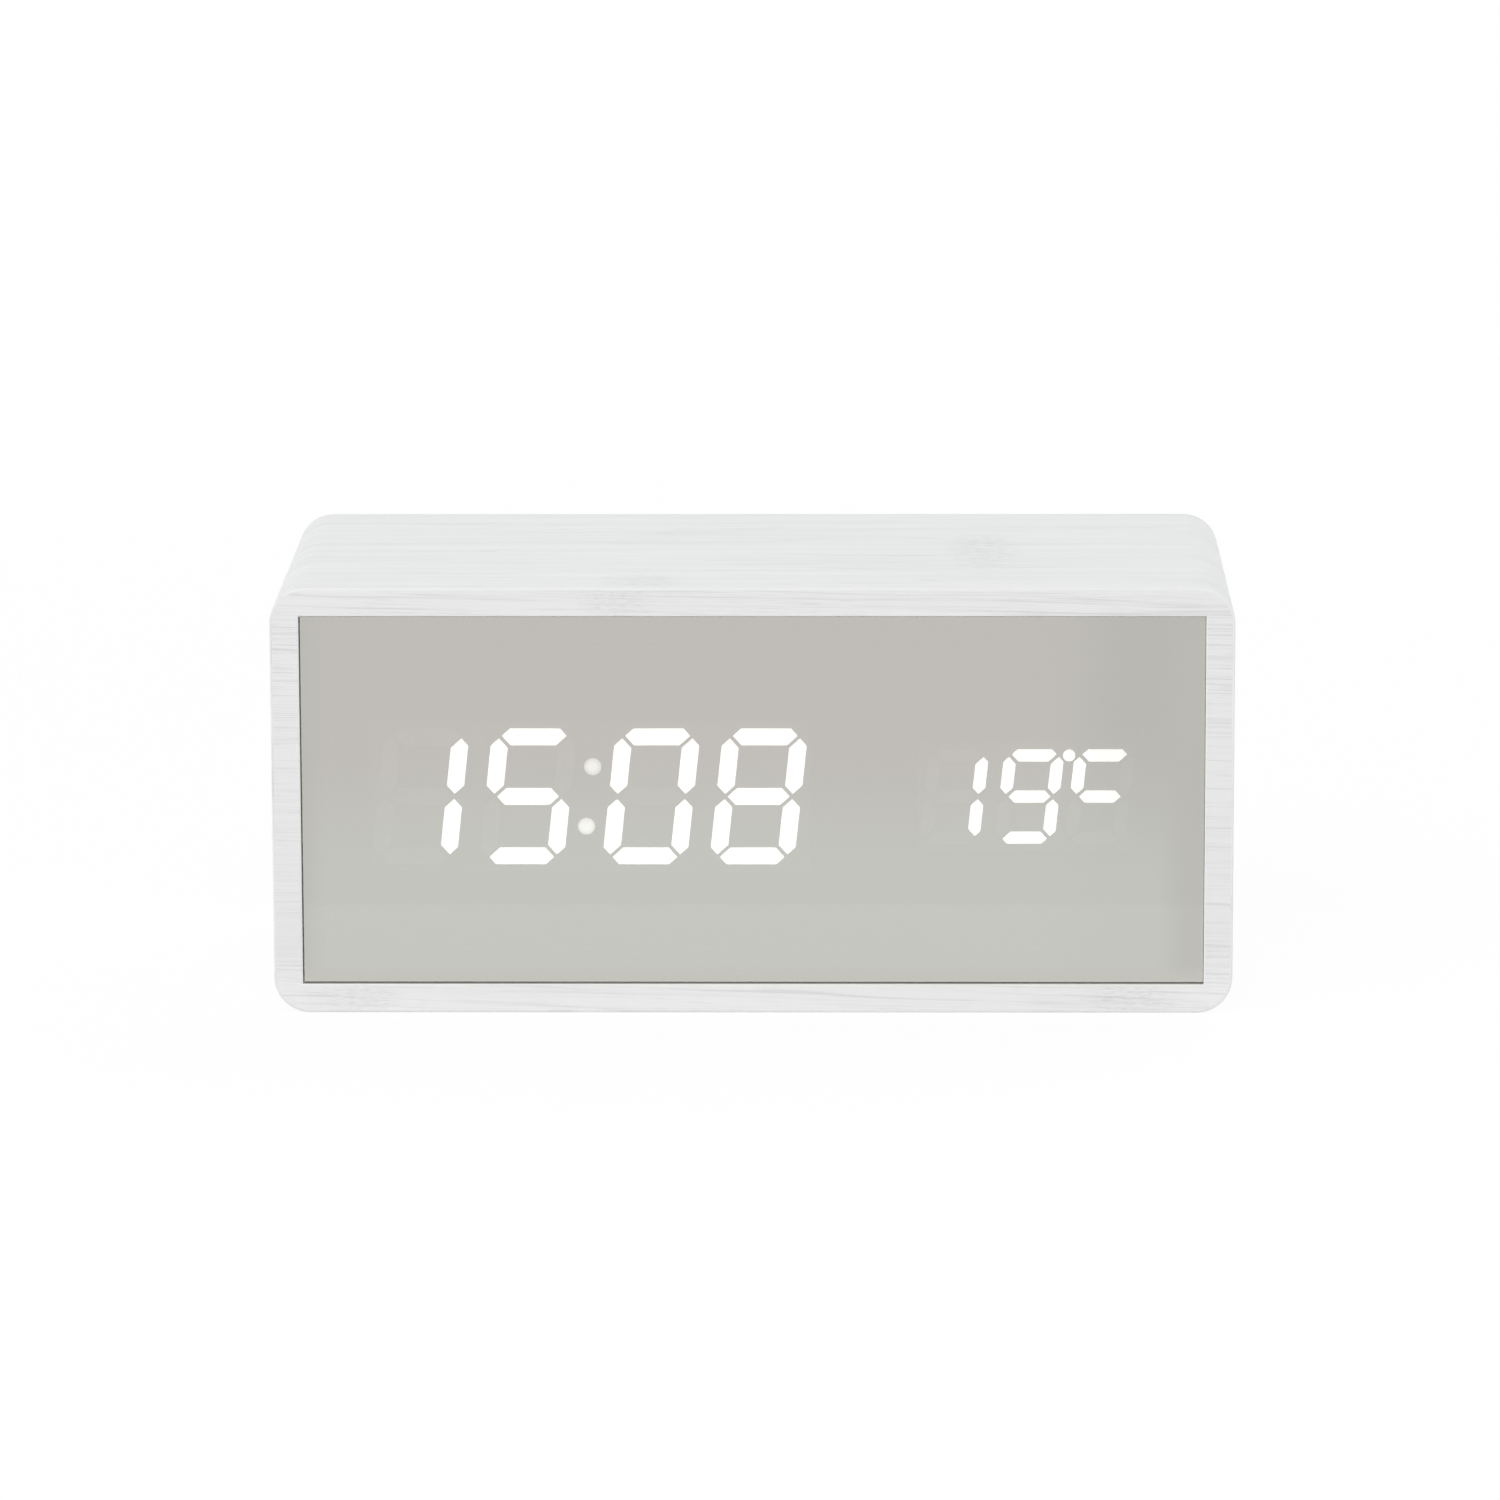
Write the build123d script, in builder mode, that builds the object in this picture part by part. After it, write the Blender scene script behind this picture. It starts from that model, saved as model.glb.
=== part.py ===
from build123d import *
import math
import os

# Mirror alarm clock: a veneered board sleeve with a half-silvered front panel over lit digits.
# Millimetres, +Z up, the front faces -Y, and the origin is the centre of the base.

# Casing: four mitred boards under a veneer wrap, with a veneer frame on each open end
WIDTH = 150.0
DEPTH = 70.0
HEIGHT = 67.5
WALL = 4.5
CORNER_RADIUS = 5.6
VENEER = 0.4
EDGE_ROUND = 0.25

# Mirror panel, which sits a little right of and above the middle of its opening,
# the tape that bonds it and the dark mask behind it
PANEL_THICKNESS = 2.0
PANEL_RECESS = 0.5
PANEL_GAP_X = 0.12
PANEL_GAP_Z = 0.2
PANEL_CHAMFER = 0.08
PANEL_SHIFT_X = 0.07
PANEL_SHIFT_Z = 0.12
TAPE_THICKNESS = 0.5
TAPE_WIDTH = 4.0
TAPE_INSET = 0.5
MASK_THICKNESS = 0.2
MASK_GAP = 0.05
MASK_LAP = 0.8

# Seven-segment digits: the time in large ones, the temperature in small ones.
# They fill the width that the insets and the gaps leave, and the small ones have a share of it.
TIME_DIGITS = "1508"
TIME_DIGIT_HEIGHT = 21.65
TIME_STROKE = 2.7
TIME_GAP = 3.5
COLON_GAP = 6.0
COLON_DOT_RADIUS = 1.36
GROUP_GAP = 15.2
TEMP_DIGITS = "19C"
TEMP_DIGIT_SHARE = 0.707
TEMP_DIGIT_HEIGHT = 15.05
TEMP_STROKE = 1.96
TEMP_GAP = 2.35
UNIT_GAP = 1.6
DEGREE_DOT_RADIUS = 0.95
DEGREE_DOT_GAP = 0.75
DIGIT_SLANT = 6.2
SEGMENT_GAP = 0.4
SEGMENT_ROUND = 0.12
TIP_SHIFT = 0.18
BAR_GAP = 0.45
SEGMENT_DEPTH = 5.0
DISPLAY_RISE = 0.24
DISPLAY_INSET = 9.8

# Display modules and the board that carries them
MODULE_DEPTH = 8.0
MODULE_MARGIN = 1.0
MODULE_HEADROOM = 2.0
BOARD_THICKNESS = 1.6
DISPLAY_BOARD_MARGIN = 0.5
LED_SIZE = 1.2
LED_HEIGHT = 0.7

# Chassis: the tray behind the panel, screwed to blocks in the corners of the sleeve
CHASSIS_GAP = 0.15
CHASSIS_PLATE = 2.0
CHASSIS_WALL = 1.6
CHASSIS_DEPTH = 12.0
WINDOW_GAP = 0.3
BLOCK_SIZE = 8.0
DISPLAY_BOSS_RADIUS = 2.2
DISPLAY_BOSS_GAP = 0.3
DISPLAY_SCREW_INSET = 5.2

# Screws: plain shanks in pilot holes of their own size
SCREW_RADIUS = 1.3
SCREW_HEAD_RADIUS = 2.6
SCREW_HEAD_HEIGHT = 1.5
SCREW_CLEARANCE = 0.2
CHASSIS_SCREW_LENGTH = 22.0
COVER_SCREW_LENGTH = 14.0
COVER_SCREW_SINK = 1.2
BOARD_SCREW_RADIUS = 1.0
BOARD_SCREW_HEAD_RADIUS = 1.9
BOARD_SCREW_LENGTH = 5.0
DRIVE_SLOT_WIDTH = 0.6
DRIVE_SLOT_DEPTH = 0.8

# Rear cover
COVER_GAP = 0.25
COVER_RECESS = 1.5
COVER_THICKNESS = 2.5
BOSS_RADIUS = 3.0
SOUND_HOLE_RADIUS = 0.75
SOUND_HOLE_CIRCLE = 2.6
SOUND_HOLE_COUNT = 6
VENT_LENGTH = 9.0
VENT_WIDTH = 1.2
VENT_PITCH = 2.8
VENT_COUNT = 3

# Battery bay for four cells lying side by side, and its hinged door
CELL_COUNT = 4
CELL_RADIUS = 5.0
CELL_LENGTH = 44.5
CELL_PITCH = 11.0
CELL_TOP_GAP = 0.6
NUB_RADIUS = 1.9
NUB_HEIGHT = 0.8
JACKET_THICKNESS = 0.2
JACKET_INSET = 0.8
PLATE_THICKNESS = 0.4
PLATE_SIZE = 9.0
BUMP_RADIUS = 1.8
BUMP_HEIGHT = 0.6
SPRING_LENGTH = 4.6
SPRING_WIRE_RADIUS = 0.3
SPRING_BASE_RADIUS = 3.4
SPRING_TIP_RADIUS = 2.0
SPRING_TURNS = 3
SPRING_SEAT_GAP = 0.05
BAY_WALL = 1.6
BAY_SIDE_GAP = 0.7
BAY_MARGIN = 0.3
DOOR_THICKNESS = 2.2
DOOR_GAP = 0.3
DOOR_LEDGE = 1.2
DOOR_LEDGE_GAP = 0.1
BARREL_RADIUS = 1.5
PIN_RADIUS = 0.9
PIN_CLEARANCE = 0.05
PIN_LENGTH = 1.6
TONGUE_WIDTH = 12.0
TONGUE_LENGTH = 9.0
TONGUE_SLIT = 0.8
TONGUE_RIB_HEIGHT = 0.4
TONGUE_RIB_WIDTH = 0.8
TONGUE_RIB_COUNT = 3
SCOOP_RADIUS = 9.0
SCOOP_DEPTH = 1.3

# Main board, its parts and the buttons that work its switches
MAIN_BOARD_HEIGHT = 46.0
MAIN_BOARD_SIDE_GAP = 1.0
MAIN_BOARD_BAY_GAP = 9.0
MAIN_SCREW_INSET = 5.0
SWITCH_SIZE = 6.0
SWITCH_HEIGHT = 3.5
PLUNGER_RADIUS = 1.75
PLUNGER_CLEARANCE = 0.1
PLUNGER_HEIGHT = 1.5
PLUNGER_SINK = 1.0
PLUNGER_RUNOUT = 0.2
BUTTON_TRAVEL = 0.4
BUTTON_RADIUS = 3.5
BUTTON_CLEARANCE = 0.25
BUTTON_PROUD = 1.0
BUTTON_FLANGE = 1.0
BUTTON_FLANGE_THICKNESS = 1.0
BUTTON_STOP_GAP = 0.1
BUTTON_STEM_RADIUS = 2.2
BUTTON_STEM_LENGTH = 2.4
BUTTON_EDGE_ROUND = 0.4
BUTTON_PITCH = 12.5
BUTTON_INSET = 12.7
ICON_SIZE = 1.7
ICON_HEIGHT = 0.25
ICON_STROKE = 0.6
OUTLET_INSET = 13.0
SOCKET_DROP = 12.0
SOCKET_SIZE = 8.0
SOCKET_COVER_GAP = 0.2
SOCKET_NOZZLE_RADIUS = 3.6
SOCKET_NOZZLE_CLEARANCE = 0.25
SOCKET_BORE_RADIUS = 1.8
SOCKET_BORE_DEPTH = 9.0
SOCKET_PIN_RADIUS = 0.65
SOCKET_PIN_SINK = 1.0
BUZZER_RADIUS = 5.5
BUZZER_HEIGHT = 7.5
BUZZER_RISE = 8.0
BUZZER_PORT_RADIUS = 1.2
BUZZER_PORT_DEPTH = 1.0
THERMISTOR_DROP = 2.2
THERMISTOR_RADIUS = 1.2
THERMISTOR_REACH = 6.5
THERMISTOR_LEAD_RADIUS = 0.3
THERMISTOR_LEAD_PITCH = 1.2
COIN_RADIUS = 10.0
COIN_THICKNESS = 3.2
COIN_CLEARANCE = 0.2
COIN_RISE = 9.2
HOLDER_WALL = 1.4
HOLDER_FLOOR = 1.0
CHIP_HEIGHT = 2.4
CHIP_WIDTH = 7.5
CHIP_LENGTH = 17.9
CHIP_DROP = 8.0
LEG_COUNT = 10
LEG_PITCH = 1.27
LEG_WIDTH = 0.45
LEG_REACH = 1.4
LEG_THICKNESS = 0.5
CRYSTAL_LENGTH = 10.5
CRYSTAL_WIDTH = 4.2
CRYSTAL_HEIGHT = 3.5
CRYSTAL_INSET = 4.0
CRYSTAL_DROP = 5.0
CAPACITOR_RADIUS = 2.0
CAPACITOR_HEIGHT = 7.0
CAPACITOR_PITCH = 5.0
CAPACITOR_INSET = 3.0
CAPACITOR_RISE = 6.0

# Wiring inside the case
RIBBON_WIDTH = 12.0
RIBBON_THICKNESS = 0.9
RIBBON_DROP = 15.8
RIBBON_SAG = 5.0
RIBBON_BEND = 5.0
RIBBON_SOCKET_WIDTH = 14.0
RIBBON_SOCKET_DEPTH = 4.0
RIBBON_SOCKET_HEIGHT = 6.0
LEAD_RADIUS = 0.6
LEAD_CLEARANCE = 0.2
LEAD_BEND = 1.5
LEAD_OFFSET = 3.3
LEAD_PAD_MARGIN = 0.2

# Depth stations, from the front to the rear
FRONT_Y = -DEPTH / 2
REAR_Y = DEPTH / 2
PANEL_BACK_Y = FRONT_Y + PANEL_RECESS + PANEL_THICKNESS
MASK_BACK_Y = PANEL_BACK_Y + MASK_THICKNESS
CHASSIS_FRONT_Y = PANEL_BACK_Y + TAPE_THICKNESS
CHASSIS_PLATE_Y = CHASSIS_FRONT_Y + CHASSIS_PLATE
CHASSIS_REAR_Y = CHASSIS_FRONT_Y + CHASSIS_DEPTH
MODULE_BACK_Y = MASK_BACK_Y + MODULE_DEPTH
DISPLAY_BOARD_BACK_Y = MODULE_BACK_Y + BOARD_THICKNESS
COVER_FACE_Y = REAR_Y - COVER_RECESS
COVER_INNER_Y = COVER_FACE_Y - COVER_THICKNESS
DOOR_INNER_Y = COVER_FACE_Y - DOOR_THICKNESS
JACKET_RADIUS = CELL_RADIUS + JACKET_THICKNESS
CELL_Y = DOOR_INNER_Y - CELL_TOP_GAP - JACKET_RADIUS
BAY_FLOOR_Y = CELL_Y - JACKET_RADIUS
HINGE_Y = COVER_FACE_Y - BARREL_RADIUS
BUTTON_FACE_Y = COVER_FACE_Y + BUTTON_PROUD
FLANGE_REAR_Y = COVER_INNER_Y - BUTTON_STOP_GAP
FLANGE_FRONT_Y = FLANGE_REAR_Y - BUTTON_FLANGE_THICKNESS
PLUNGER_TOP_Y = FLANGE_FRONT_Y - BUTTON_STEM_LENGTH
SWITCH_TOP_Y = PLUNGER_TOP_Y - PLUNGER_HEIGHT
MAIN_BOARD_REAR_Y = SWITCH_TOP_Y - SWITCH_HEIGHT
MAIN_BOARD_FRONT_Y = MAIN_BOARD_REAR_Y - BOARD_THICKNESS

# Widths and heights that follow from the casing
CORE_WIDTH = WIDTH - 2 * VENEER
CORE_HEIGHT = HEIGHT - 2 * VENEER
CORE_RADIUS = CORNER_RADIUS - VENEER
CAVITY_WIDTH = WIDTH - 2 * WALL
CAVITY_HEIGHT = HEIGHT - 2 * WALL
PANEL_WIDTH = CAVITY_WIDTH - 2 * PANEL_GAP_X
PANEL_HEIGHT = CAVITY_HEIGHT - 2 * PANEL_GAP_Z
CHASSIS_WIDTH = CAVITY_WIDTH - 2 * CHASSIS_GAP
CHASSIS_HEIGHT = CAVITY_HEIGHT - 2 * CHASSIS_GAP
COVER_WIDTH = CAVITY_WIDTH - 2 * COVER_GAP
COVER_HEIGHT = CAVITY_HEIGHT - 2 * COVER_GAP
BLOCK_SPREAD_X = CAVITY_WIDTH - BLOCK_SIZE
BLOCK_SPREAD_Z = CAVITY_HEIGHT - BLOCK_SIZE

# Display layout: each module ends the same distance from its side of the sleeve
SLANT = math.tan(math.radians(DIGIT_SLANT))
TIME_ROOM = TIME_DIGIT_HEIGHT * SLANT + 2 * MODULE_MARGIN
TEMP_ROOM = TEMP_DIGIT_HEIGHT * SLANT + 2 * MODULE_MARGIN
DIGIT_ROOM = (
    CAVITY_WIDTH
    - 2 * DISPLAY_INSET
    - GROUP_GAP
    - (2 * TIME_GAP + COLON_GAP + TIME_ROOM)
    - (TEMP_GAP + UNIT_GAP + TEMP_ROOM)
)
TIME_DIGIT_WIDTH = DIGIT_ROOM / (len(TIME_DIGITS) + TEMP_DIGIT_SHARE * len(TEMP_DIGITS))
TEMP_DIGIT_WIDTH = TEMP_DIGIT_SHARE * TIME_DIGIT_WIDTH
TIME_PITCH = TIME_DIGIT_WIDTH + TIME_GAP
COLON_PITCH = TIME_DIGIT_WIDTH + COLON_GAP
TEMP_PITCH = TEMP_DIGIT_WIDTH + TEMP_GAP
TIME_SPAN = COLON_PITCH + 2 * TIME_PITCH
TIME_MODULE_WIDTH = TIME_SPAN + TIME_DIGIT_WIDTH + TIME_ROOM
TIME_MODULE_HEIGHT = TIME_DIGIT_HEIGHT + 2 * MODULE_HEADROOM
TIME_X = -CAVITY_WIDTH / 2 + DISPLAY_INSET + TIME_MODULE_WIDTH / 2
TIME_DIGIT_X = [
    TIME_X - TIME_SPAN / 2,
    TIME_X - COLON_PITCH / 2,
    TIME_X + COLON_PITCH / 2,
    TIME_X + TIME_SPAN / 2,
]
TEMP_SPAN = TEMP_PITCH + TEMP_DIGIT_WIDTH + UNIT_GAP
TEMP_MODULE_WIDTH = TEMP_SPAN + TEMP_DIGIT_WIDTH + TEMP_ROOM
TEMP_MODULE_HEIGHT = TEMP_DIGIT_HEIGHT + 2 * MODULE_HEADROOM
TEMP_X = CAVITY_WIDTH / 2 - DISPLAY_INSET - TEMP_MODULE_WIDTH / 2
TEMP_DIGIT_X = [
    TEMP_X - TEMP_SPAN / 2,
    TEMP_X - TEMP_SPAN / 2 + TEMP_PITCH,
    TEMP_X + TEMP_SPAN / 2,
]
DISPLAY_BOARD_WIDTH = CAVITY_WIDTH - 2 * (DISPLAY_INSET - DISPLAY_BOARD_MARGIN)
DISPLAY_SCREW_SPREAD = DISPLAY_BOARD_WIDTH - 2 * DISPLAY_SCREW_INSET
DISPLAY_SCREW_Z = TIME_MODULE_HEIGHT / 2 + WINDOW_GAP + DISPLAY_BOSS_GAP + DISPLAY_BOSS_RADIUS
DISPLAY_BOARD_HEIGHT = 2 * (DISPLAY_SCREW_Z + DISPLAY_BOSS_RADIUS + DISPLAY_BOARD_MARGIN)

# Battery bay layout: beside the right-hand corner blocks
BAY_LENGTH = CELL_LENGTH + SPRING_LENGTH + BUMP_HEIGHT + 2 * PLATE_THICKNESS
BAY_HEIGHT = CELL_COUNT * CELL_PITCH + 2 * BAY_MARGIN
BAY_X = CAVITY_WIDTH / 2 - BLOCK_SIZE - BAY_SIDE_GAP - BAY_WALL - BAY_LENGTH / 2
BAY_LEFT_X = BAY_X - BAY_LENGTH / 2
BAY_RIGHT_X = BAY_X + BAY_LENGTH / 2
CELL_Z = [(i - (CELL_COUNT - 1) / 2) * CELL_PITCH for i in range(CELL_COUNT)]
CELL_SIDES = [1 if i % 2 == 0 else -1 for i in range(CELL_COUNT)]
DOOR_LENGTH = BAY_LENGTH - 2 * DOOR_GAP
DOOR_TOP_Z = BAY_HEIGHT / 2 - DOOR_GAP
HINGE_Z = -BAY_HEIGHT / 2 + DOOR_GAP + BARREL_RADIUS

# Main board layout: between the left-hand corner blocks and the battery bay
MAIN_LEFT_X = -CAVITY_WIDTH / 2 + BLOCK_SIZE + MAIN_BOARD_SIDE_GAP
MAIN_RIGHT_X = BAY_LEFT_X - BAY_WALL - MAIN_BOARD_BAY_GAP
MAIN_BOARD_WIDTH = MAIN_RIGHT_X - MAIN_LEFT_X
MAIN_X = (MAIN_LEFT_X + MAIN_RIGHT_X) / 2
MAIN_SCREW_SPREAD_X = MAIN_BOARD_WIDTH - 2 * MAIN_SCREW_INSET
MAIN_SCREW_SPREAD_Z = MAIN_BOARD_HEIGHT - 2 * MAIN_SCREW_INSET
OUTLET_X = MAIN_RIGHT_X - OUTLET_INSET
LEAD_PAD_X = MAIN_RIGHT_X - LEAD_RADIUS - LEAD_PAD_MARGIN
BUTTON_X = MAIN_LEFT_X + BUTTON_INSET
BUTTON_Z = {"set": BUTTON_PITCH, "up": 0.0, "down": -BUTTON_PITCH}
BUTTON_POINTS = [(BUTTON_X, z) for z in BUTTON_Z.values()]

SEGMENTS_LIT = {"0": "abcdef", "1": "bc", "5": "acdfg", "8": "abcdefg", "9": "abcdfg", "C": "afg"}
SINK = (Align.CENTER, Align.CENTER, Align.MAX)
STAND = (Align.CENTER, Align.CENTER, Align.MIN)


def upright(y):
    """Vertical plane at depth y, centred on the casing: local x is +X, local y is +Z, normal is -Y."""
    return Plane(origin=(0, y, HEIGHT / 2), x_dir=(1, 0, 0), z_dir=(0, -1, 0))


def crosswise(x):
    """Vertical plane at x, level with the casing's centre: local x is +Y, local y is +Z, normal is +X."""
    return Plane(origin=(x, 0, HEIGHT / 2), x_dir=(0, 1, 0), z_dir=(1, 0, 0))


def save(builder, name):
    """Labels a finished piece and writes its STEP file."""
    builder.part.label = name
    export_step(builder.part, f"parts/{name}.step")


os.makedirs("parts", exist_ok=True)


# Casing

with BuildPart() as wrap_veneer:
    with BuildSketch(upright(REAR_Y)):
        RectangleRounded(WIDTH, HEIGHT, CORNER_RADIUS)
        RectangleRounded(CORE_WIDTH, CORE_HEIGHT, CORE_RADIUS, mode=Mode.SUBTRACT)
    extrude(amount=DEPTH)
    ends = wrap_veneer.faces().filter_by(Axis.Y)
    fillet([edge for end in ends for edge in end.outer_wire().edges()], EDGE_ROUND)
save(wrap_veneer, "wrap_veneer")


def casing_board(inner_ends, outer_ends):
    """One board of the sleeve, mitred between the ends of its inner and its outer edge."""
    with BuildPart() as board:
        with BuildSketch(upright(REAR_Y - VENEER)):
            RectangleRounded(CORE_WIDTH, CORE_HEIGHT, CORE_RADIUS)
            Rectangle(CAVITY_WIDTH, CAVITY_HEIGHT, mode=Mode.SUBTRACT)
            Polygon(*inner_ends, *reversed(outer_ends), align=None, mode=Mode.INTERSECT)
        extrude(amount=DEPTH - 2 * VENEER)
    return board


def level_edge(reach, height):
    """The two ends of a level edge at a height above the casing's centre."""
    return [(-reach, height), (reach, height)]


def side_edge(x, reach):
    """The two ends of an upright edge at x."""
    return [(x, -reach), (x, reach)]


for side, sign in (("top", 1), ("bottom", -1)):
    inner = level_edge(CAVITY_WIDTH / 2, sign * CAVITY_HEIGHT / 2)
    outer = level_edge(WIDTH / 2, sign * HEIGHT / 2)
    save(casing_board(inner, outer), f"{side}_board")
for side, sign in (("left", -1), ("right", 1)):
    inner = side_edge(sign * CAVITY_WIDTH / 2, CAVITY_HEIGHT / 2)
    outer = side_edge(sign * WIDTH / 2, HEIGHT / 2)
    save(casing_board(inner, outer), f"{side}_board")


def rim_veneer(board_end_y, outward):
    """The veneer frame glued to one end of the boards, with a rounded edge round the opening."""
    with BuildPart() as rim:
        with BuildSketch(upright(board_end_y)):
            RectangleRounded(CORE_WIDTH, CORE_HEIGHT, CORE_RADIUS)
            Rectangle(CAVITY_WIDTH, CAVITY_HEIGHT, mode=Mode.SUBTRACT)
        extrude(amount=-outward * VENEER)
        show_face = rim.faces().filter_by(Axis.Y).sort_by(Axis.Y, reverse=outward > 0)[0]
        fillet(show_face.inner_wires()[0].edges(), EDGE_ROUND)
    return rim


save(rim_veneer(FRONT_Y + VENEER, -1), "front_rim_veneer")
save(rim_veneer(REAR_Y - VENEER, 1), "rear_rim_veneer")

with BuildPart() as corner_blocks:
    with BuildSketch(upright(COVER_INNER_Y)):
        with GridLocations(BLOCK_SPREAD_X, BLOCK_SPREAD_Z, 2, 2):
            Rectangle(BLOCK_SIZE, BLOCK_SIZE)
    extrude(amount=COVER_INNER_Y - CHASSIS_REAR_Y)
    with BuildSketch(upright(CHASSIS_REAR_Y)):
        with GridLocations(BLOCK_SPREAD_X, BLOCK_SPREAD_Z, 2, 2):
            Circle(SCREW_RADIUS)
    extrude(amount=CHASSIS_DEPTH - CHASSIS_SCREW_LENGTH, mode=Mode.SUBTRACT)
    with BuildSketch(upright(COVER_INNER_Y)):
        with GridLocations(BLOCK_SPREAD_X, BLOCK_SPREAD_Z, 2, 2):
            Circle(SCREW_RADIUS)
    extrude(amount=COVER_SCREW_LENGTH - COVER_THICKNESS + COVER_SCREW_SINK, mode=Mode.SUBTRACT)
save(corner_blocks, "corner_blocks")


# Front panel

with BuildPart() as mirror_panel:
    with BuildSketch(upright(PANEL_BACK_Y)):
        with Locations((PANEL_SHIFT_X, PANEL_SHIFT_Z)):
            Rectangle(PANEL_WIDTH, PANEL_HEIGHT)
    extrude(amount=PANEL_THICKNESS)
    chamfer(mirror_panel.faces().sort_by(Axis.Y)[0].edges(), PANEL_CHAMFER)
save(mirror_panel, "mirror_panel")

TAPE_LOSS = 2 * (TAPE_INSET + TAPE_WIDTH)
with BuildPart() as panel_tape:
    with BuildSketch(upright(CHASSIS_FRONT_Y)):
        Rectangle(PANEL_WIDTH - 2 * TAPE_INSET, PANEL_HEIGHT - 2 * TAPE_INSET)
        Rectangle(PANEL_WIDTH - TAPE_LOSS, PANEL_HEIGHT - TAPE_LOSS, mode=Mode.SUBTRACT)
    extrude(amount=TAPE_THICKNESS)
save(panel_tape, "panel_tape")

MODULES = [
    (TIME_X, TIME_MODULE_WIDTH, TIME_MODULE_HEIGHT),
    (TEMP_X, TEMP_MODULE_WIDTH, TEMP_MODULE_HEIGHT),
]

with BuildPart() as display_mask:
    with BuildSketch(upright(MASK_BACK_Y)):
        Rectangle(PANEL_WIDTH - TAPE_LOSS - 2 * MASK_GAP, PANEL_HEIGHT - TAPE_LOSS - 2 * MASK_GAP)
        for module_x, width, height in MODULES:
            with Locations((module_x, DISPLAY_RISE)):
                Rectangle(width - 2 * MASK_LAP, height - 2 * MASK_LAP, mode=Mode.SUBTRACT)
    extrude(amount=MASK_THICKNESS)
save(display_mask, "display_mask")


# Chassis

with BuildPart() as chassis:
    with BuildSketch(upright(CHASSIS_REAR_Y)):
        Rectangle(CHASSIS_WIDTH, CHASSIS_HEIGHT)
        Rectangle(CHASSIS_WIDTH - 2 * CHASSIS_WALL, CHASSIS_HEIGHT - 2 * CHASSIS_WALL, mode=Mode.SUBTRACT)
        with GridLocations(BLOCK_SPREAD_X - CHASSIS_GAP, BLOCK_SPREAD_Z - CHASSIS_GAP, 2, 2):
            Rectangle(BLOCK_SIZE - CHASSIS_GAP, BLOCK_SIZE - CHASSIS_GAP)
    extrude(amount=CHASSIS_DEPTH)
    with BuildSketch(upright(MODULE_BACK_Y)):
        with Locations((0, DISPLAY_RISE)):
            with GridLocations(DISPLAY_SCREW_SPREAD, 2 * DISPLAY_SCREW_Z, 2, 2):
                Circle(DISPLAY_BOSS_RADIUS)
    extrude(amount=MODULE_BACK_Y - CHASSIS_PLATE_Y)
    with BuildSketch(upright(CHASSIS_PLATE_Y)):
        Rectangle(CHASSIS_WIDTH, CHASSIS_HEIGHT)
        for module_x, width, height in MODULES:
            with Locations((module_x, DISPLAY_RISE)):
                Rectangle(width + 2 * WINDOW_GAP, height + 2 * WINDOW_GAP, mode=Mode.SUBTRACT)
    extrude(amount=CHASSIS_PLATE)
    with BuildSketch(upright(MODULE_BACK_Y)):
        with Locations((0, DISPLAY_RISE)):
            with GridLocations(DISPLAY_SCREW_SPREAD, 2 * DISPLAY_SCREW_Z, 2, 2):
                Circle(BOARD_SCREW_RADIUS)
    extrude(amount=BOARD_SCREW_LENGTH - BOARD_THICKNESS, mode=Mode.SUBTRACT)
    with Locations(upright(CHASSIS_FRONT_Y)):
        with GridLocations(BLOCK_SPREAD_X, BLOCK_SPREAD_Z, 2, 2):
            CounterSinkHole(
                SCREW_RADIUS + SCREW_CLEARANCE,
                SCREW_HEAD_RADIUS + SCREW_CLEARANCE,
                counter_sink_angle=90,
            )
save(chassis, "chassis")


def screw_group(plane, points, radius, length, head_radius, countersunk=False):
    """Identical screws driven along the plane's -normal, with cross-slotted heads seated on it."""
    with BuildPart() as group:
        with Locations(plane):
            with Locations(*points):
                Cylinder(radius, length, align=SINK)
                if countersunk:
                    head_top = 0
                    Cone(radius, head_radius, head_radius - radius, align=SINK)
                else:
                    head_top = SCREW_HEAD_HEIGHT
                    Cylinder(head_radius, SCREW_HEAD_HEIGHT, align=STAND)
                with Locations((0, 0, head_top)):
                    for turn in (0, 90):
                        Box(
                            head_radius,
                            DRIVE_SLOT_WIDTH,
                            DRIVE_SLOT_DEPTH,
                            rotation=(0, 0, turn),
                            align=SINK,
                            mode=Mode.SUBTRACT,
                        )
    return group


def grid_points(spread_x, spread_z, center_x=0.0, center_z=0.0):
    """The four corners of a rectangle, as points on an upright plane."""
    across = (center_x - spread_x / 2, center_x + spread_x / 2)
    upward = (center_z - spread_z / 2, center_z + spread_z / 2)
    return [(x, z) for x in across for z in upward]


BLOCK_POINTS = grid_points(BLOCK_SPREAD_X, BLOCK_SPREAD_Z)
chassis_screws = screw_group(
    upright(CHASSIS_FRONT_Y),
    BLOCK_POINTS,
    SCREW_RADIUS,
    CHASSIS_SCREW_LENGTH,
    SCREW_HEAD_RADIUS,
    countersunk=True,
)
save(chassis_screws, "chassis_screws")


# Displays

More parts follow.
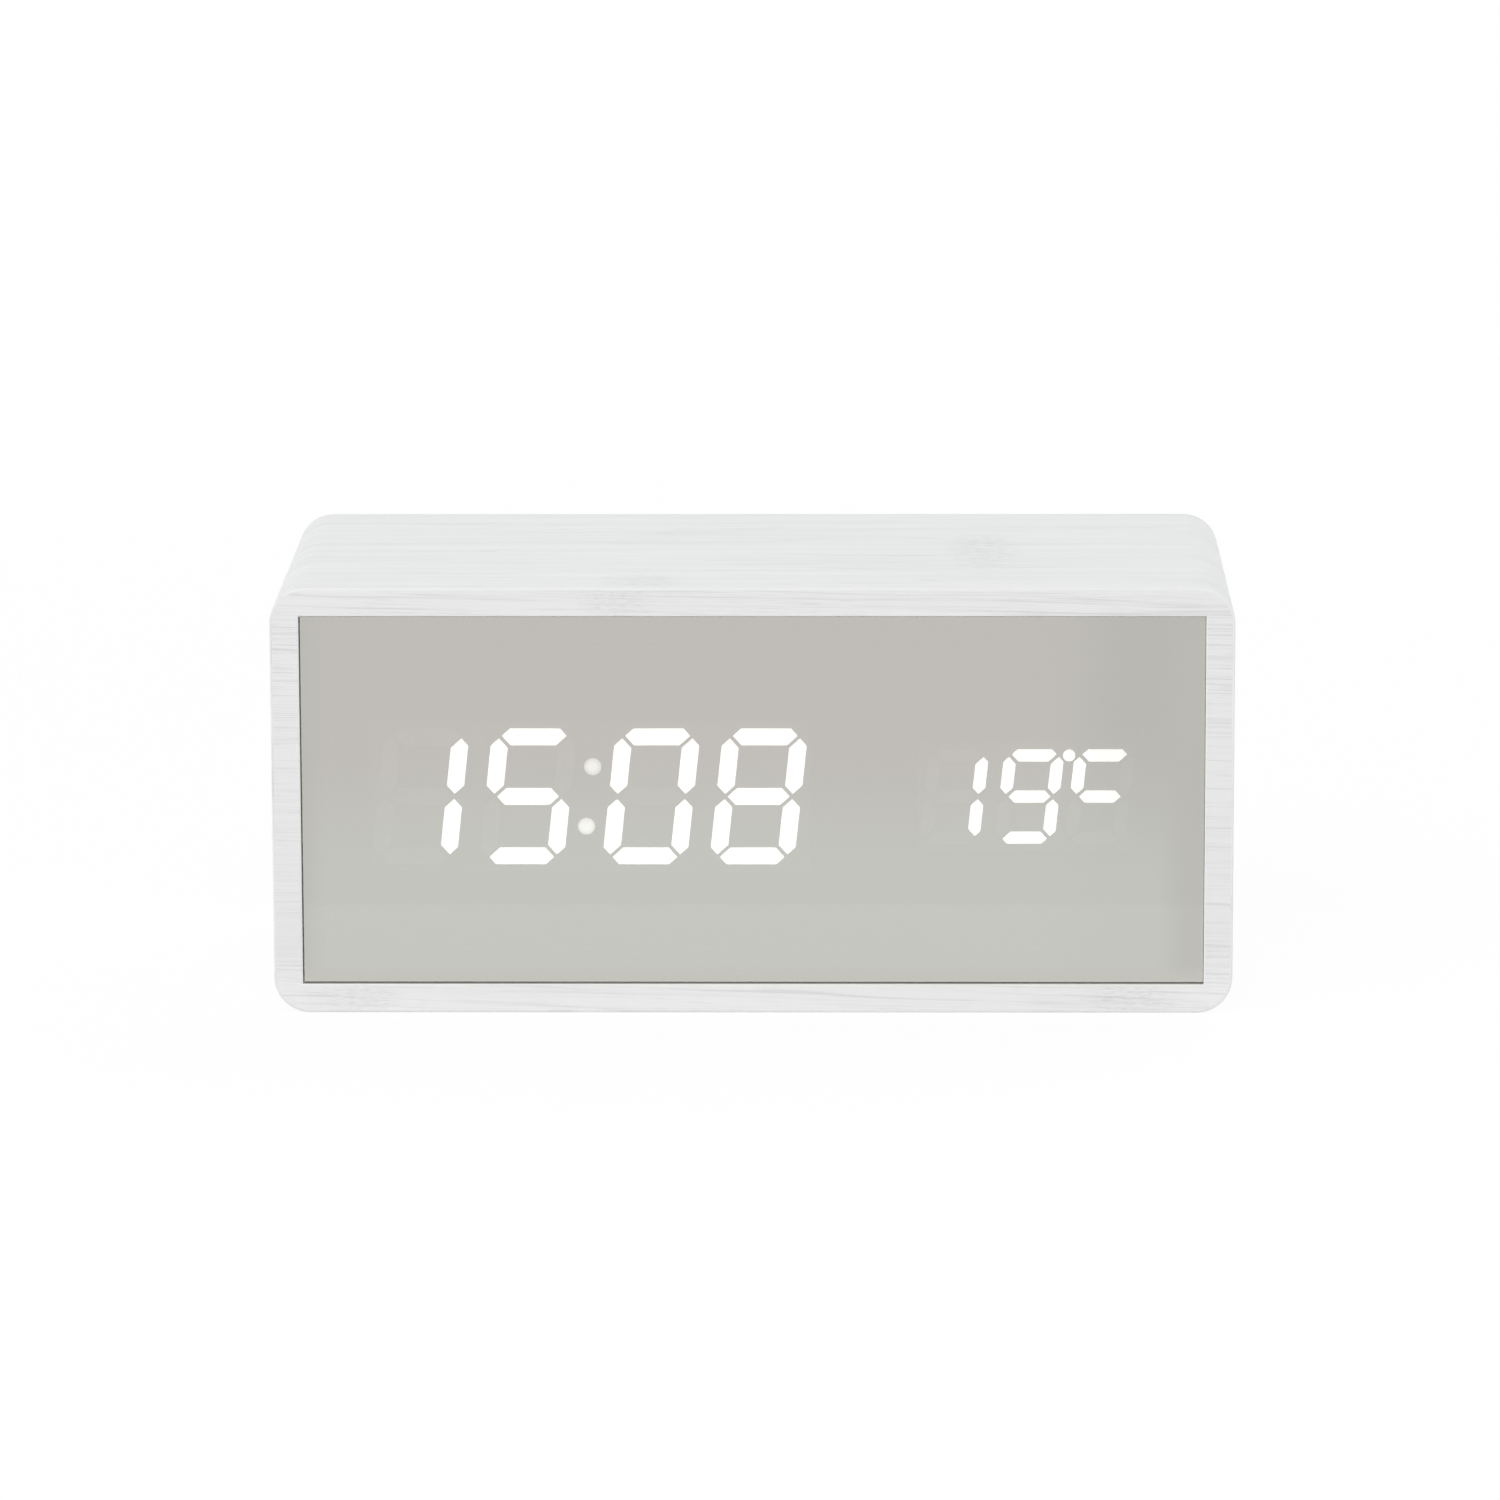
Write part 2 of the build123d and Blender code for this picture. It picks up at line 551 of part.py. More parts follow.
def digit_strokes(character, center_x, width, height, stroke):
    """The lit and unlit strokes of one digit, each as (start, end, width, gap, shifts) before the slant.

    The outer strokes run clockwise, so the outside of the digit is on their left.
    """
    x, z = (width - stroke) / 2, (height - stroke) / 2
    ends = {
        "a": ((-x, z), (x, z), SEGMENT_GAP, (TIP_SHIFT, TIP_SHIFT)),
        "b": ((x, z), (x, 0), SEGMENT_GAP, (TIP_SHIFT, 0)),
        "c": ((x, 0), (x, -z), SEGMENT_GAP, (0, TIP_SHIFT)),
        "d": ((x, -z), (-x, -z), SEGMENT_GAP, (TIP_SHIFT, TIP_SHIFT)),
        "e": ((-x, -z), (-x, 0), SEGMENT_GAP, (TIP_SHIFT, 0)),
        "f": ((-x, 0), (-x, z), SEGMENT_GAP, (0, TIP_SHIFT)),
        "g": ((-x, 0), (x, 0), BAR_GAP, (0, 0)),
    }
    lit, unlit = [], []
    for letter, (start, end, gap, shifts) in ends.items():
        chosen = lit if letter in SEGMENTS_LIT[character] else unlit
        chosen.append(((center_x + start[0], start[1]), (center_x + end[0], end[1]), stroke, gap, shifts))
    return lit, unlit


def slanted(point):
    """Leans a point of the display to the right, the way the digits lean."""
    return (point[0] + point[1] * SLANT, point[1] + DISPLAY_RISE)


def stroke_outline(start, end, stroke, gap, shifts):
    """Six corners of a stroke with pointed ends, leaning with its digit.

    A shift moves the tip of that end to the left and outwards, along the slope of its right side.
    """
    length = math.dist(start, end)
    along = ((end[0] - start[0]) / length, (end[1] - start[1]) / length)
    across = (-along[1], along[0])
    half = stroke / 2
    first, last = shifts
    steps = [
        (gap - first, first),
        (gap + half - 2 * first, half),
        (length - gap - half + 2 * last, half),
        (length - gap + last, last),
        (length - gap - half, -half),
        (gap + half, -half),
    ]
    corners = []
    for u, v in steps:
        x = start[0] + u * along[0] + v * across[0]
        z = start[1] + u * along[1] + v * across[1]
        corners.append(slanted((x, z)))
    return corners


def stroke_middle(start, end):
    """The middle of a stroke, on the leaning digit."""
    return slanted(((start[0] + end[0]) / 2, (start[1] + end[1]) / 2))


def gather_strokes(characters, centers, width, height, stroke):
    """All lit and all unlit strokes of a row of digits."""
    lit, unlit = [], []
    for character, center_x in zip(characters, centers):
        on, off = digit_strokes(character, center_x, width, height, stroke)
        lit += on
        unlit += off
    return lit, unlit


time_lit, time_unlit = gather_strokes(
    TIME_DIGITS, TIME_DIGIT_X, TIME_DIGIT_WIDTH, TIME_DIGIT_HEIGHT, TIME_STROKE
)
temp_lit, temp_unlit = gather_strokes(
    TEMP_DIGITS, TEMP_DIGIT_X, TEMP_DIGIT_WIDTH, TEMP_DIGIT_HEIGHT, TEMP_STROKE
)
COLON_REACH = (TIME_DIGIT_HEIGHT - TIME_STROKE) / 4
COLON_POINTS = [slanted((TIME_X, COLON_REACH)), slanted((TIME_X, -COLON_REACH))]
DEGREE_Z = (TEMP_DIGIT_HEIGHT - TEMP_STROKE) / 2
DEGREE_X = TEMP_DIGIT_X[1] + TEMP_DIGIT_WIDTH / 2 + DEGREE_DOT_GAP
DEGREE_POINTS = [slanted((DEGREE_X, DEGREE_Z))]


def display_housing(center_x, width, height, strokes, dots, dot_radius):
    """The dark reflector block of one display, with a well for each stroke and dot."""
    with BuildPart() as housing:
        with BuildSketch(upright(MODULE_BACK_Y)):
            with Locations((center_x, DISPLAY_RISE)):
                Rectangle(width, height)
            with Locations(*dots):
                Circle(dot_radius, mode=Mode.SUBTRACT)
        extrude(amount=MODULE_DEPTH)
        with BuildSketch(upright(MODULE_BACK_Y)) as wells:
            for stroke in strokes:
                Polygon(*stroke_outline(*stroke), align=None)
            fillet(wells.vertices(), SEGMENT_ROUND)
        extrude(amount=MODULE_DEPTH, mode=Mode.SUBTRACT)
    return housing


def segment_inserts(strokes):
    """The milky resin that fills the front of each stroke's well."""
    with BuildPart() as inserts:
        with BuildSketch(upright(MASK_BACK_Y + SEGMENT_DEPTH)) as faces:
            for stroke in strokes:
                Polygon(*stroke_outline(*stroke), align=None)
            fillet(faces.vertices(), SEGMENT_ROUND)
        extrude(amount=SEGMENT_DEPTH)
    return inserts


def dot_inserts(points, radius):
    """The milky resin of the round dots."""
    with BuildPart() as dots:
        with BuildSketch(upright(MASK_BACK_Y + SEGMENT_DEPTH)):
            with Locations(*points):
                Circle(radius)
        extrude(amount=SEGMENT_DEPTH)
    return dots


save(
    display_housing(*MODULES[0], time_lit + time_unlit, COLON_POINTS, COLON_DOT_RADIUS),
    "time_display_housing",
)
save(segment_inserts(time_lit), "time_segments_lit")
save(segment_inserts(time_unlit), "time_segments_unlit")
save(dot_inserts(COLON_POINTS, COLON_DOT_RADIUS), "colon_dots")
save(
    display_housing(*MODULES[1], temp_lit + temp_unlit, DEGREE_POINTS, DEGREE_DOT_RADIUS),
    "temperature_display_housing",
)
save(segment_inserts(temp_lit), "temperature_segments_lit")
save(segment_inserts(temp_unlit), "temperature_segments_unlit")
save(dot_inserts(DEGREE_POINTS, DEGREE_DOT_RADIUS), "degree_dot")

DISPLAY_SCREW_POINTS = grid_points(DISPLAY_SCREW_SPREAD, 2 * DISPLAY_SCREW_Z, center_z=DISPLAY_RISE)
with BuildPart() as display_board:
    with BuildSketch(upright(DISPLAY_BOARD_BACK_Y)):
        with Locations((0, DISPLAY_RISE)):
            Rectangle(DISPLAY_BOARD_WIDTH, DISPLAY_BOARD_HEIGHT)
        with Locations(*DISPLAY_SCREW_POINTS):
            Circle(BOARD_SCREW_RADIUS + SCREW_CLEARANCE, mode=Mode.SUBTRACT)
    extrude(amount=BOARD_THICKNESS)
save(display_board, "display_board")

with BuildPart() as led_chips:
    with BuildSketch(upright(MODULE_BACK_Y)):
        strokes = time_lit + time_unlit + temp_lit + temp_unlit
        middles = [stroke_middle(start, end) for start, end, *_ in strokes]
        with Locations(*middles, *COLON_POINTS, *DEGREE_POINTS):
            Rectangle(LED_SIZE, LED_SIZE)
    extrude(amount=LED_HEIGHT)
save(led_chips, "led_chips")

# Screw heads face the rear here, so the plane faces the rear too and its local y runs down
display_rear = Plane(origin=(0, DISPLAY_BOARD_BACK_Y, HEIGHT / 2), x_dir=(1, 0, 0), z_dir=(0, 1, 0))
display_screws = screw_group(
    display_rear,
    [(x, -z) for x, z in DISPLAY_SCREW_POINTS],
    BOARD_SCREW_RADIUS,
    BOARD_SCREW_LENGTH,
    BOARD_SCREW_HEAD_RADIUS,
)
save(display_screws, "display_screws")


def chip(seat_y, toward_front, center_x, center_z):
    """A flat chip with two rows of legs, seated on a board at seat_y."""
    direction = 1 if toward_front else -1
    with BuildPart() as package:
        with BuildSketch(upright(seat_y)):
            with Locations((center_x, center_z)):
                Rectangle(CHIP_LENGTH, CHIP_WIDTH)
        extrude(amount=direction * CHIP_HEIGHT)
        with BuildSketch(upright(seat_y)):
            with Locations((center_x, center_z)):
                with GridLocations(LEG_PITCH, CHIP_WIDTH, LEG_COUNT, 2):
                    Rectangle(LEG_WIDTH, 2 * LEG_REACH)
        extrude(amount=direction * LEG_THICKNESS)
    return package


save(chip(DISPLAY_BOARD_BACK_Y, False, TEMP_X, DISPLAY_RISE), "display_driver")


# Rear cover and battery door

with BuildPart() as rear_cover:
    with BuildSketch(upright(COVER_FACE_Y)):
        Rectangle(COVER_WIDTH, COVER_HEIGHT)
    extrude(amount=COVER_THICKNESS)
    with BuildSketch(upright(COVER_INNER_Y)):
        with Locations((BAY_X, 0)):
            Rectangle(BAY_LENGTH + 2 * BAY_WALL, BAY_HEIGHT + 2 * BAY_WALL)
    extrude(amount=COVER_INNER_Y - BAY_FLOOR_Y + BAY_WALL)
    with BuildSketch(upright(COVER_INNER_Y)):
        with Locations((MAIN_X, 0)):
            with GridLocations(MAIN_SCREW_SPREAD_X, MAIN_SCREW_SPREAD_Z, 2, 2):
                Circle(BOSS_RADIUS)
    extrude(amount=COVER_INNER_Y - MAIN_BOARD_REAR_Y)
    with BuildSketch(upright(COVER_FACE_Y)):
        with Locations((BAY_X, 0)):
            Rectangle(BAY_LENGTH, BAY_HEIGHT)
    extrude(amount=COVER_FACE_Y - BAY_FLOOR_Y, mode=Mode.SUBTRACT)
    with BuildSketch(upright(DOOR_INNER_Y - DOOR_LEDGE_GAP)):
        with Locations((BAY_X, BAY_HEIGHT / 2 - DOOR_LEDGE / 2)):
            Rectangle(BAY_LENGTH, DOOR_LEDGE)
    extrude(amount=DOOR_LEDGE)
    with BuildSketch(crosswise(BAY_X)):
        with Locations((HINGE_Y, HINGE_Z)):
            Circle(PIN_RADIUS + PIN_CLEARANCE)
    extrude(amount=BAY_LENGTH / 2 + PIN_LENGTH, both=True, mode=Mode.SUBTRACT)
    with BuildSketch(crosswise(BAY_LEFT_X)):
        with Locations((CELL_Y, CELL_Z[0] + LEAD_OFFSET), (CELL_Y, CELL_Z[-1] - LEAD_OFFSET)):
            Circle(LEAD_RADIUS + LEAD_CLEARANCE)
    extrude(amount=-BAY_WALL, mode=Mode.SUBTRACT)
    with BuildSketch(upright(COVER_FACE_Y)):
        with Locations(*BUTTON_POINTS):
            Circle(BUTTON_RADIUS + BUTTON_CLEARANCE)
        with Locations((OUTLET_X, -SOCKET_DROP)):
            Circle(SOCKET_NOZZLE_RADIUS + SOCKET_NOZZLE_CLEARANCE)
        with Locations((OUTLET_X, BUZZER_RISE)):
            Circle(SOUND_HOLE_RADIUS)
            with PolarLocations(SOUND_HOLE_CIRCLE, SOUND_HOLE_COUNT):
                Circle(SOUND_HOLE_RADIUS)
        with Locations((OUTLET_X, -THERMISTOR_DROP)):
            with GridLocations(VENT_LENGTH, VENT_PITCH, 1, VENT_COUNT):
                SlotOverall(VENT_LENGTH, VENT_WIDTH)
    extrude(amount=COVER_THICKNESS, mode=Mode.SUBTRACT)
    with BuildSketch(upright(MAIN_BOARD_REAR_Y)):
        with Locations((MAIN_X, 0)):
            with GridLocations(MAIN_SCREW_SPREAD_X, MAIN_SCREW_SPREAD_Z, 2, 2):
                Circle(BOARD_SCREW_RADIUS)
    extrude(amount=BOARD_THICKNESS - BOARD_SCREW_LENGTH, mode=Mode.SUBTRACT)
    with BuildSketch(upright(COVER_FACE_Y)):
        with GridLocations(BLOCK_SPREAD_X, BLOCK_SPREAD_Z, 2, 2):
            Circle(SCREW_HEAD_RADIUS + SCREW_CLEARANCE)
    extrude(amount=COVER_SCREW_SINK, mode=Mode.SUBTRACT)
    with BuildSketch(upright(COVER_FACE_Y)):
        with GridLocations(BLOCK_SPREAD_X, BLOCK_SPREAD_Z, 2, 2):
            Circle(SCREW_RADIUS + SCREW_CLEARANCE)
    extrude(amount=COVER_THICKNESS, mode=Mode.SUBTRACT)
    with Locations((BAY_X, COVER_FACE_Y + SCOOP_RADIUS - SCOOP_DEPTH, HEIGHT / 2 + BAY_HEIGHT / 2)):
        Sphere(SCOOP_RADIUS, mode=Mode.SUBTRACT)
save(rear_cover, "rear_cover")

screw_seat_y = COVER_FACE_Y - COVER_SCREW_SINK
cover_rear = Plane(origin=(0, screw_seat_y, HEIGHT / 2), x_dir=(1, 0, 0), z_dir=(0, 1, 0))
cover_screws = screw_group(cover_rear, BLOCK_POINTS, SCREW_RADIUS, COVER_SCREW_LENGTH, SCREW_HEAD_RADIUS)
save(cover_screws, "rear_cover_screws")

with BuildPart() as battery_door:
    with BuildSketch(crosswise(BAY_X)):
        with Locations((COVER_FACE_Y - DOOR_THICKNESS / 2, (HINGE_Z + DOOR_TOP_Z) / 2)):
            Rectangle(DOOR_THICKNESS, DOOR_TOP_Z - HINGE_Z)
        with Locations((HINGE_Y, HINGE_Z)):
            Circle(BARREL_RADIUS)
    extrude(amount=DOOR_LENGTH / 2, both=True)
    with BuildSketch(crosswise(BAY_X)):
        with Locations((HINGE_Y, HINGE_Z)):
            Circle(PIN_RADIUS)
    extrude(amount=DOOR_LENGTH / 2 + PIN_LENGTH, both=True)
    with BuildSketch(upright(COVER_FACE_Y)):
        with Locations((BAY_X, DOOR_TOP_Z - TONGUE_LENGTH / 2)):
            with GridLocations(TONGUE_WIDTH + TONGUE_SLIT, TONGUE_LENGTH, 2, 1):
                Rectangle(TONGUE_SLIT, TONGUE_LENGTH)
    extrude(amount=DOOR_THICKNESS, mode=Mode.SUBTRACT)
    with BuildSketch(upright(COVER_FACE_Y)):
        with Locations((BAY_X, DOOR_TOP_Z - TONGUE_LENGTH / 2)):
            with GridLocations(TONGUE_WIDTH, 2 * TONGUE_RIB_WIDTH, 1, TONGUE_RIB_COUNT):
                Rectangle(TONGUE_WIDTH - 2 * TONGUE_RIB_WIDTH, TONGUE_RIB_WIDTH)
    extrude(amount=-TONGUE_RIB_HEIGHT)
save(battery_door, "battery_door")


# Battery cells and contacts. Neighbouring cells lie opposite ways, so each end wall has both poles.

def pole_x(side):
    """Where the bumped contact meets a cell's nub: side +1 has the nub to the right."""
    return BAY_X + side * (BAY_LENGTH / 2 - PLATE_THICKNESS - BUMP_HEIGHT)


with BuildPart() as battery_cells:
    for z, side in zip(CELL_Z, CELL_SIDES):
        flat_end_x = pole_x(side) - side * CELL_LENGTH
        with BuildSketch(crosswise(flat_end_x)):
            with Locations((CELL_Y, z)):
                Circle(CELL_RADIUS)
        extrude(amount=side * (CELL_LENGTH - NUB_HEIGHT))
        with BuildSketch(crosswise(flat_end_x)):
            with Locations((CELL_Y, z)):
                Circle(NUB_RADIUS)
        extrude(amount=side * CELL_LENGTH)
save(battery_cells, "battery_cells")

with BuildPart() as cell_jackets:
    for z, side in zip(CELL_Z, CELL_SIDES):
        with BuildSketch(crosswise(pole_x(side) - side * (CELL_LENGTH - JACKET_INSET))):
            with Locations((CELL_Y, z)):
                Circle(JACKET_RADIUS)
                Circle(CELL_RADIUS, mode=Mode.SUBTRACT)
        extrude(amount=side * (CELL_LENGTH - NUB_HEIGHT - 2 * JACKET_INSET))
save(cell_jackets, "battery_cell_jackets")

PLATE_Y = BAY_FLOOR_Y + PLATE_SIZE / 2
with BuildPart() as contact_plates:
    with BuildSketch(crosswise(BAY_RIGHT_X)):
        with Locations(*[(PLATE_Y, (CELL_Z[i] + CELL_Z[i + 1]) / 2) for i in range(0, CELL_COUNT, 2)]):
            Rectangle(PLATE_SIZE, CELL_PITCH + PLATE_SIZE)
    extrude(amount=-PLATE_THICKNESS)
    with BuildSketch(crosswise(BAY_LEFT_X)):
        with Locations((PLATE_Y, CELL_Z[0]), (PLATE_Y, CELL_Z[-1])):
            Rectangle(PLATE_SIZE, PLATE_SIZE)
        with Locations(*[(PLATE_Y, (CELL_Z[i] + CELL_Z[i + 1]) / 2) for i in range(1, CELL_COUNT - 1, 2)]):
            Rectangle(PLATE_SIZE, CELL_PITCH + PLATE_SIZE)
    extrude(amount=PLATE_THICKNESS)
    for z, side in zip(CELL_Z, CELL_SIDES):
        with BuildSketch(crosswise(pole_x(side))):
            with Locations((CELL_Y, z)):
                Circle(BUMP_RADIUS)
        extrude(amount=side * BUMP_HEIGHT)
save(contact_plates, "battery_contact_plates")


def biarc(start, start_tangent, end, end_tangent):
    """Two arcs that join two points smoothly: returns the meeting point and the direction there."""
    chord = end - start
    both = start_tangent + end_tangent
    a = 2 * (1 - start_tangent.dot(end_tangent))
    b = 2 * chord.dot(both)
    c = -chord.dot(chord)
    reach = -c / b if abs(a) < 1e-9 else (-b + math.sqrt(b * b - 4 * a * c)) / (2 * a)
    near, far = start + start_tangent * reach, end - end_tangent * reach
    return (near + far) * 0.5, (far - near).normalized()


def spring_point(turn, side, base_x, z):
    """A point on a cell's conical spring, turn 0 on its plate and SPRING_TURNS on the cell."""
    share = turn / SPRING_TURNS
    radius = SPRING_BASE_RADIUS + (SPRING_TIP_RADIUS - SPRING_BASE_RADIUS) * share
    rise = SPRING_WIRE_RADIUS + SPRING_SEAT_GAP
    rise += (SPRING_LENGTH - 2 * rise) * share
    angle = 2 * math.pi * turn
    return Vector(
        base_x + side * rise, CELL_Y + radius * math.cos(angle), HEIGHT / 2 + z + radius * math.sin(angle)
    )


def spring_tangent(turn, side, base_x, z):
    """The direction of the spring's wire at that turn."""
    step = 1e-4
    before = spring_point(turn - step, side, base_x, z)
    after = spring_point(turn + step, side, base_x, z)
    return (after - before).normalized()


QUARTERS = 4 * SPRING_TURNS
with BuildPart() as battery_springs:
    for z, side in zip(CELL_Z, CELL_SIDES):
        base_x = BAY_X - side * (BAY_LENGTH / 2 - PLATE_THICKNESS)
        with BuildLine() as wire:
            for quarter in range(QUARTERS):
                ends = [(quarter + step) / 4 for step in (0, 1)]
                points = [spring_point(turn, side, base_x, z) for turn in ends]
                tangents = [spring_tangent(turn, side, base_x, z) for turn in ends]
                middle, direction = biarc(points[0], tangents[0], points[1], tangents[1])
                TangentArc(points[0], middle, tangent=tangents[0])
                TangentArc(middle, points[1], tangent=direction)
        start = spring_point(0, side, base_x, z)
        with BuildSketch(Plane(origin=start, z_dir=spring_tangent(0, side, base_x, z))):
            Circle(SPRING_WIRE_RADIUS)
        sweep(path=wire.wires()[0])
save(battery_springs, "battery_springs")

SPRING_SAMPLES = 60
coil = [spring_point(i / SPRING_SAMPLES, 1, 0, 0) for i in range(SPRING_SAMPLES * SPRING_TURNS + 1)]
coil_gap = min(
    (coil[i] - coil[j]).length for i in range(len(coil)) for j in range(i + SPRING_SAMPLES // 2, len(coil))
)
print("spring gap to itself", round(coil_gap - 2 * SPRING_WIRE_RADIUS, 2))


# Main board and its parts

with BuildPart() as main_board:
    with BuildSketch(upright(MAIN_BOARD_REAR_Y)):
        with Locations((MAIN_X, 0)):
            Rectangle(MAIN_BOARD_WIDTH, MAIN_BOARD_HEIGHT)
            with GridLocations(MAIN_SCREW_SPREAD_X, MAIN_SCREW_SPREAD_Z, 2, 2):
                Circle(BOARD_SCREW_RADIUS + SCREW_CLEARANCE, mode=Mode.SUBTRACT)
    extrude(amount=BOARD_THICKNESS)
save(main_board, "main_board")

main_board_screws = screw_group(
    upright(MAIN_BOARD_FRONT_Y),
    grid_points(MAIN_SCREW_SPREAD_X, MAIN_SCREW_SPREAD_Z, center_x=MAIN_X),
    BOARD_SCREW_RADIUS,
    BOARD_SCREW_LENGTH,
    BOARD_SCREW_HEAD_RADIUS,
)
save(main_board_screws, "main_board_screws")

with BuildPart() as switches:
    with BuildSketch(upright(SWITCH_TOP_Y)):
        with Locations(*BUTTON_POINTS):
            Rectangle(SWITCH_SIZE, SWITCH_SIZE)
    extrude(amount=SWITCH_HEIGHT)
    with BuildSketch(upright(SWITCH_TOP_Y)):
        with Locations(*BUTTON_POINTS):
            Circle(PLUNGER_RADIUS + PLUNGER_CLEARANCE)
    extrude(amount=PLUNGER_SINK + BUTTON_TRAVEL + PLUNGER_RUNOUT, mode=Mode.SUBTRACT)
save(switches, "tact_switches")


def icon(name):
    """Draws the raised mark of a button on the sketch in hand: a ring, or a triangle up or down."""
    if name == "set":
        Circle(ICON_SIZE)
        Circle(ICON_SIZE - ICON_STROKE, mode=Mode.SUBTRACT)
    else:
        RegularPolygon(ICON_SIZE, 3, rotation=90 if name == "up" else -90)


for name, z in BUTTON_Z.items():
    with BuildPart() as button:
        with BuildSketch(upright(BUTTON_FACE_Y)):
            with Locations((BUTTON_X, z)):
                Circle(BUTTON_RADIUS)
        extrude(amount=BUTTON_FACE_Y - FLANGE_FRONT_Y)
        fillet(button.edges().sort_by(Axis.Y)[-1], BUTTON_EDGE_ROUND)
        with BuildSketch(upright(FLANGE_REAR_Y)):
            with Locations((BUTTON_X, z)):
                Circle(BUTTON_RADIUS + BUTTON_FLANGE)
        extrude(amount=BUTTON_FLANGE_THICKNESS)
        with BuildSketch(upright(FLANGE_FRONT_Y)):
            with Locations((BUTTON_X, z)):
                Circle(BUTTON_STEM_RADIUS)
        extrude(amount=BUTTON_STEM_LENGTH)
        with BuildSketch(upright(BUTTON_FACE_Y)):
            with Locations((BUTTON_X, z)):
                icon(name)
        extrude(amount=-ICON_HEIGHT)
    save(button, f"{name}_button")
    with BuildPart() as plunger:
        with BuildSketch(upright(PLUNGER_TOP_Y)):
            with Locations((BUTTON_X, z)):
                Circle(PLUNGER_RADIUS)
        extrude(amount=PLUNGER_HEIGHT + PLUNGER_SINK)
    save(plunger, f"{name}_switch_plunger")

SOCKET_BODY_Y = COVER_INNER_Y - SOCKET_COVER_GAP
SOCKET_MOUTH_Y = COVER_FACE_Y - SOCKET_COVER_GAP
with BuildPart() as power_socket:
    with BuildSketch(upright(SOCKET_BODY_Y)):
        with Locations((OUTLET_X, -SOCKET_DROP)):
            Rectangle(SOCKET_SIZE, SOCKET_SIZE)
    extrude(amount=SOCKET_BODY_Y - MAIN_BOARD_REAR_Y)
    with BuildSketch(upright(SOCKET_MOUTH_Y)):
        with Locations((OUTLET_X, -SOCKET_DROP)):
            Circle(SOCKET_NOZZLE_RADIUS)
    extrude(amount=SOCKET_MOUTH_Y - SOCKET_BODY_Y)
    with BuildSketch(upright(SOCKET_MOUTH_Y)):
        with Locations((OUTLET_X, -SOCKET_DROP)):
            Circle(SOCKET_BORE_RADIUS)
    extrude(amount=SOCKET_BORE_DEPTH, mode=Mode.SUBTRACT)
save(power_socket, "power_socket")

with BuildPart() as socket_pin:
    with BuildSketch(upright(SOCKET_MOUTH_Y - SOCKET_PIN_SINK)):
        with Locations((OUTLET_X, -SOCKET_DROP)):
            Circle(SOCKET_PIN_RADIUS)
    extrude(amount=SOCKET_BORE_DEPTH - SOCKET_PIN_SINK)
save(socket_pin, "power_socket_pin")

with BuildPart() as buzzer:
    with BuildSketch(upright(MAIN_BOARD_REAR_Y + BUZZER_HEIGHT)):
        with Locations((OUTLET_X, BUZZER_RISE)):
            Circle(BUZZER_RADIUS)
    extrude(amount=BUZZER_HEIGHT)
    with BuildSketch(upright(MAIN_BOARD_REAR_Y + BUZZER_HEIGHT)):
        with Locations((OUTLET_X, BUZZER_RISE)):
            Circle(BUZZER_PORT_RADIUS)
    extrude(amount=BUZZER_PORT_DEPTH, mode=Mode.SUBTRACT)
save(buzzer, "buzzer")

with BuildPart() as thermistor:
    with BuildSketch(upright(MAIN_BOARD_REAR_Y + THERMISTOR_REACH)):
        with Locations((OUTLET_X, -THERMISTOR_DROP)):
            with GridLocations(THERMISTOR_LEAD_PITCH, THERMISTOR_LEAD_PITCH, 2, 1):
                Circle(THERMISTOR_LEAD_RADIUS)
    extrude(amount=THERMISTOR_REACH)
    with Locations((OUTLET_X, MAIN_BOARD_REAR_Y + THERMISTOR_REACH, HEIGHT / 2 - THERMISTOR_DROP)):
        Sphere(THERMISTOR_RADIUS)
save(thermistor, "thermistor")

with BuildPart() as coin_holder:
    with BuildSketch(upright(MAIN_BOARD_FRONT_Y)):
        with Locations((MAIN_X, COIN_RISE)):
            Circle(COIN_RADIUS + COIN_CLEARANCE + HOLDER_WALL)
    extrude(amount=HOLDER_FLOOR + COIN_THICKNESS)
    with BuildSketch(upright(MAIN_BOARD_FRONT_Y - HOLDER_FLOOR)):
        with Locations((MAIN_X, COIN_RISE)):
            Circle(COIN_RADIUS + COIN_CLEARANCE)
    extrude(amount=COIN_THICKNESS, mode=Mode.SUBTRACT)
save(coin_holder, "coin_cell_holder")

with BuildPart() as coin_cell:
    with BuildSketch(upright(MAIN_BOARD_FRONT_Y - HOLDER_FLOOR)):
        with Locations((MAIN_X, COIN_RISE)):
            Circle(COIN_RADIUS)
    extrude(amount=COIN_THICKNESS)
save(coin_cell, "coin_cell")

save(chip(MAIN_BOARD_FRONT_Y, True, MAIN_X, -CHIP_DROP), "microcontroller")

with BuildPart() as crystal:
    with BuildSketch(upright(MAIN_BOARD_FRONT_Y)):
        with Locations((MAIN_LEFT_X + CRYSTAL_INSET, -CRYSTAL_DROP)):
            SlotOverall(CRYSTAL_LENGTH, CRYSTAL_WIDTH, rotation=90)
    extrude(amount=CRYSTAL_HEIGHT)
save(crystal, "crystal")

with BuildPart() as capacitors:
    with BuildSketch(upright(MAIN_BOARD_FRONT_Y)):
        with Locations((MAIN_LEFT_X + CAPACITOR_INSET, CAPACITOR_RISE)):
            with GridLocations(CAPACITOR_PITCH, CAPACITOR_PITCH, 1, 2):
                Circle(CAPACITOR_RADIUS)
    extrude(amount=CAPACITOR_HEIGHT)
save(capacitors, "capacitors")


# Wiring

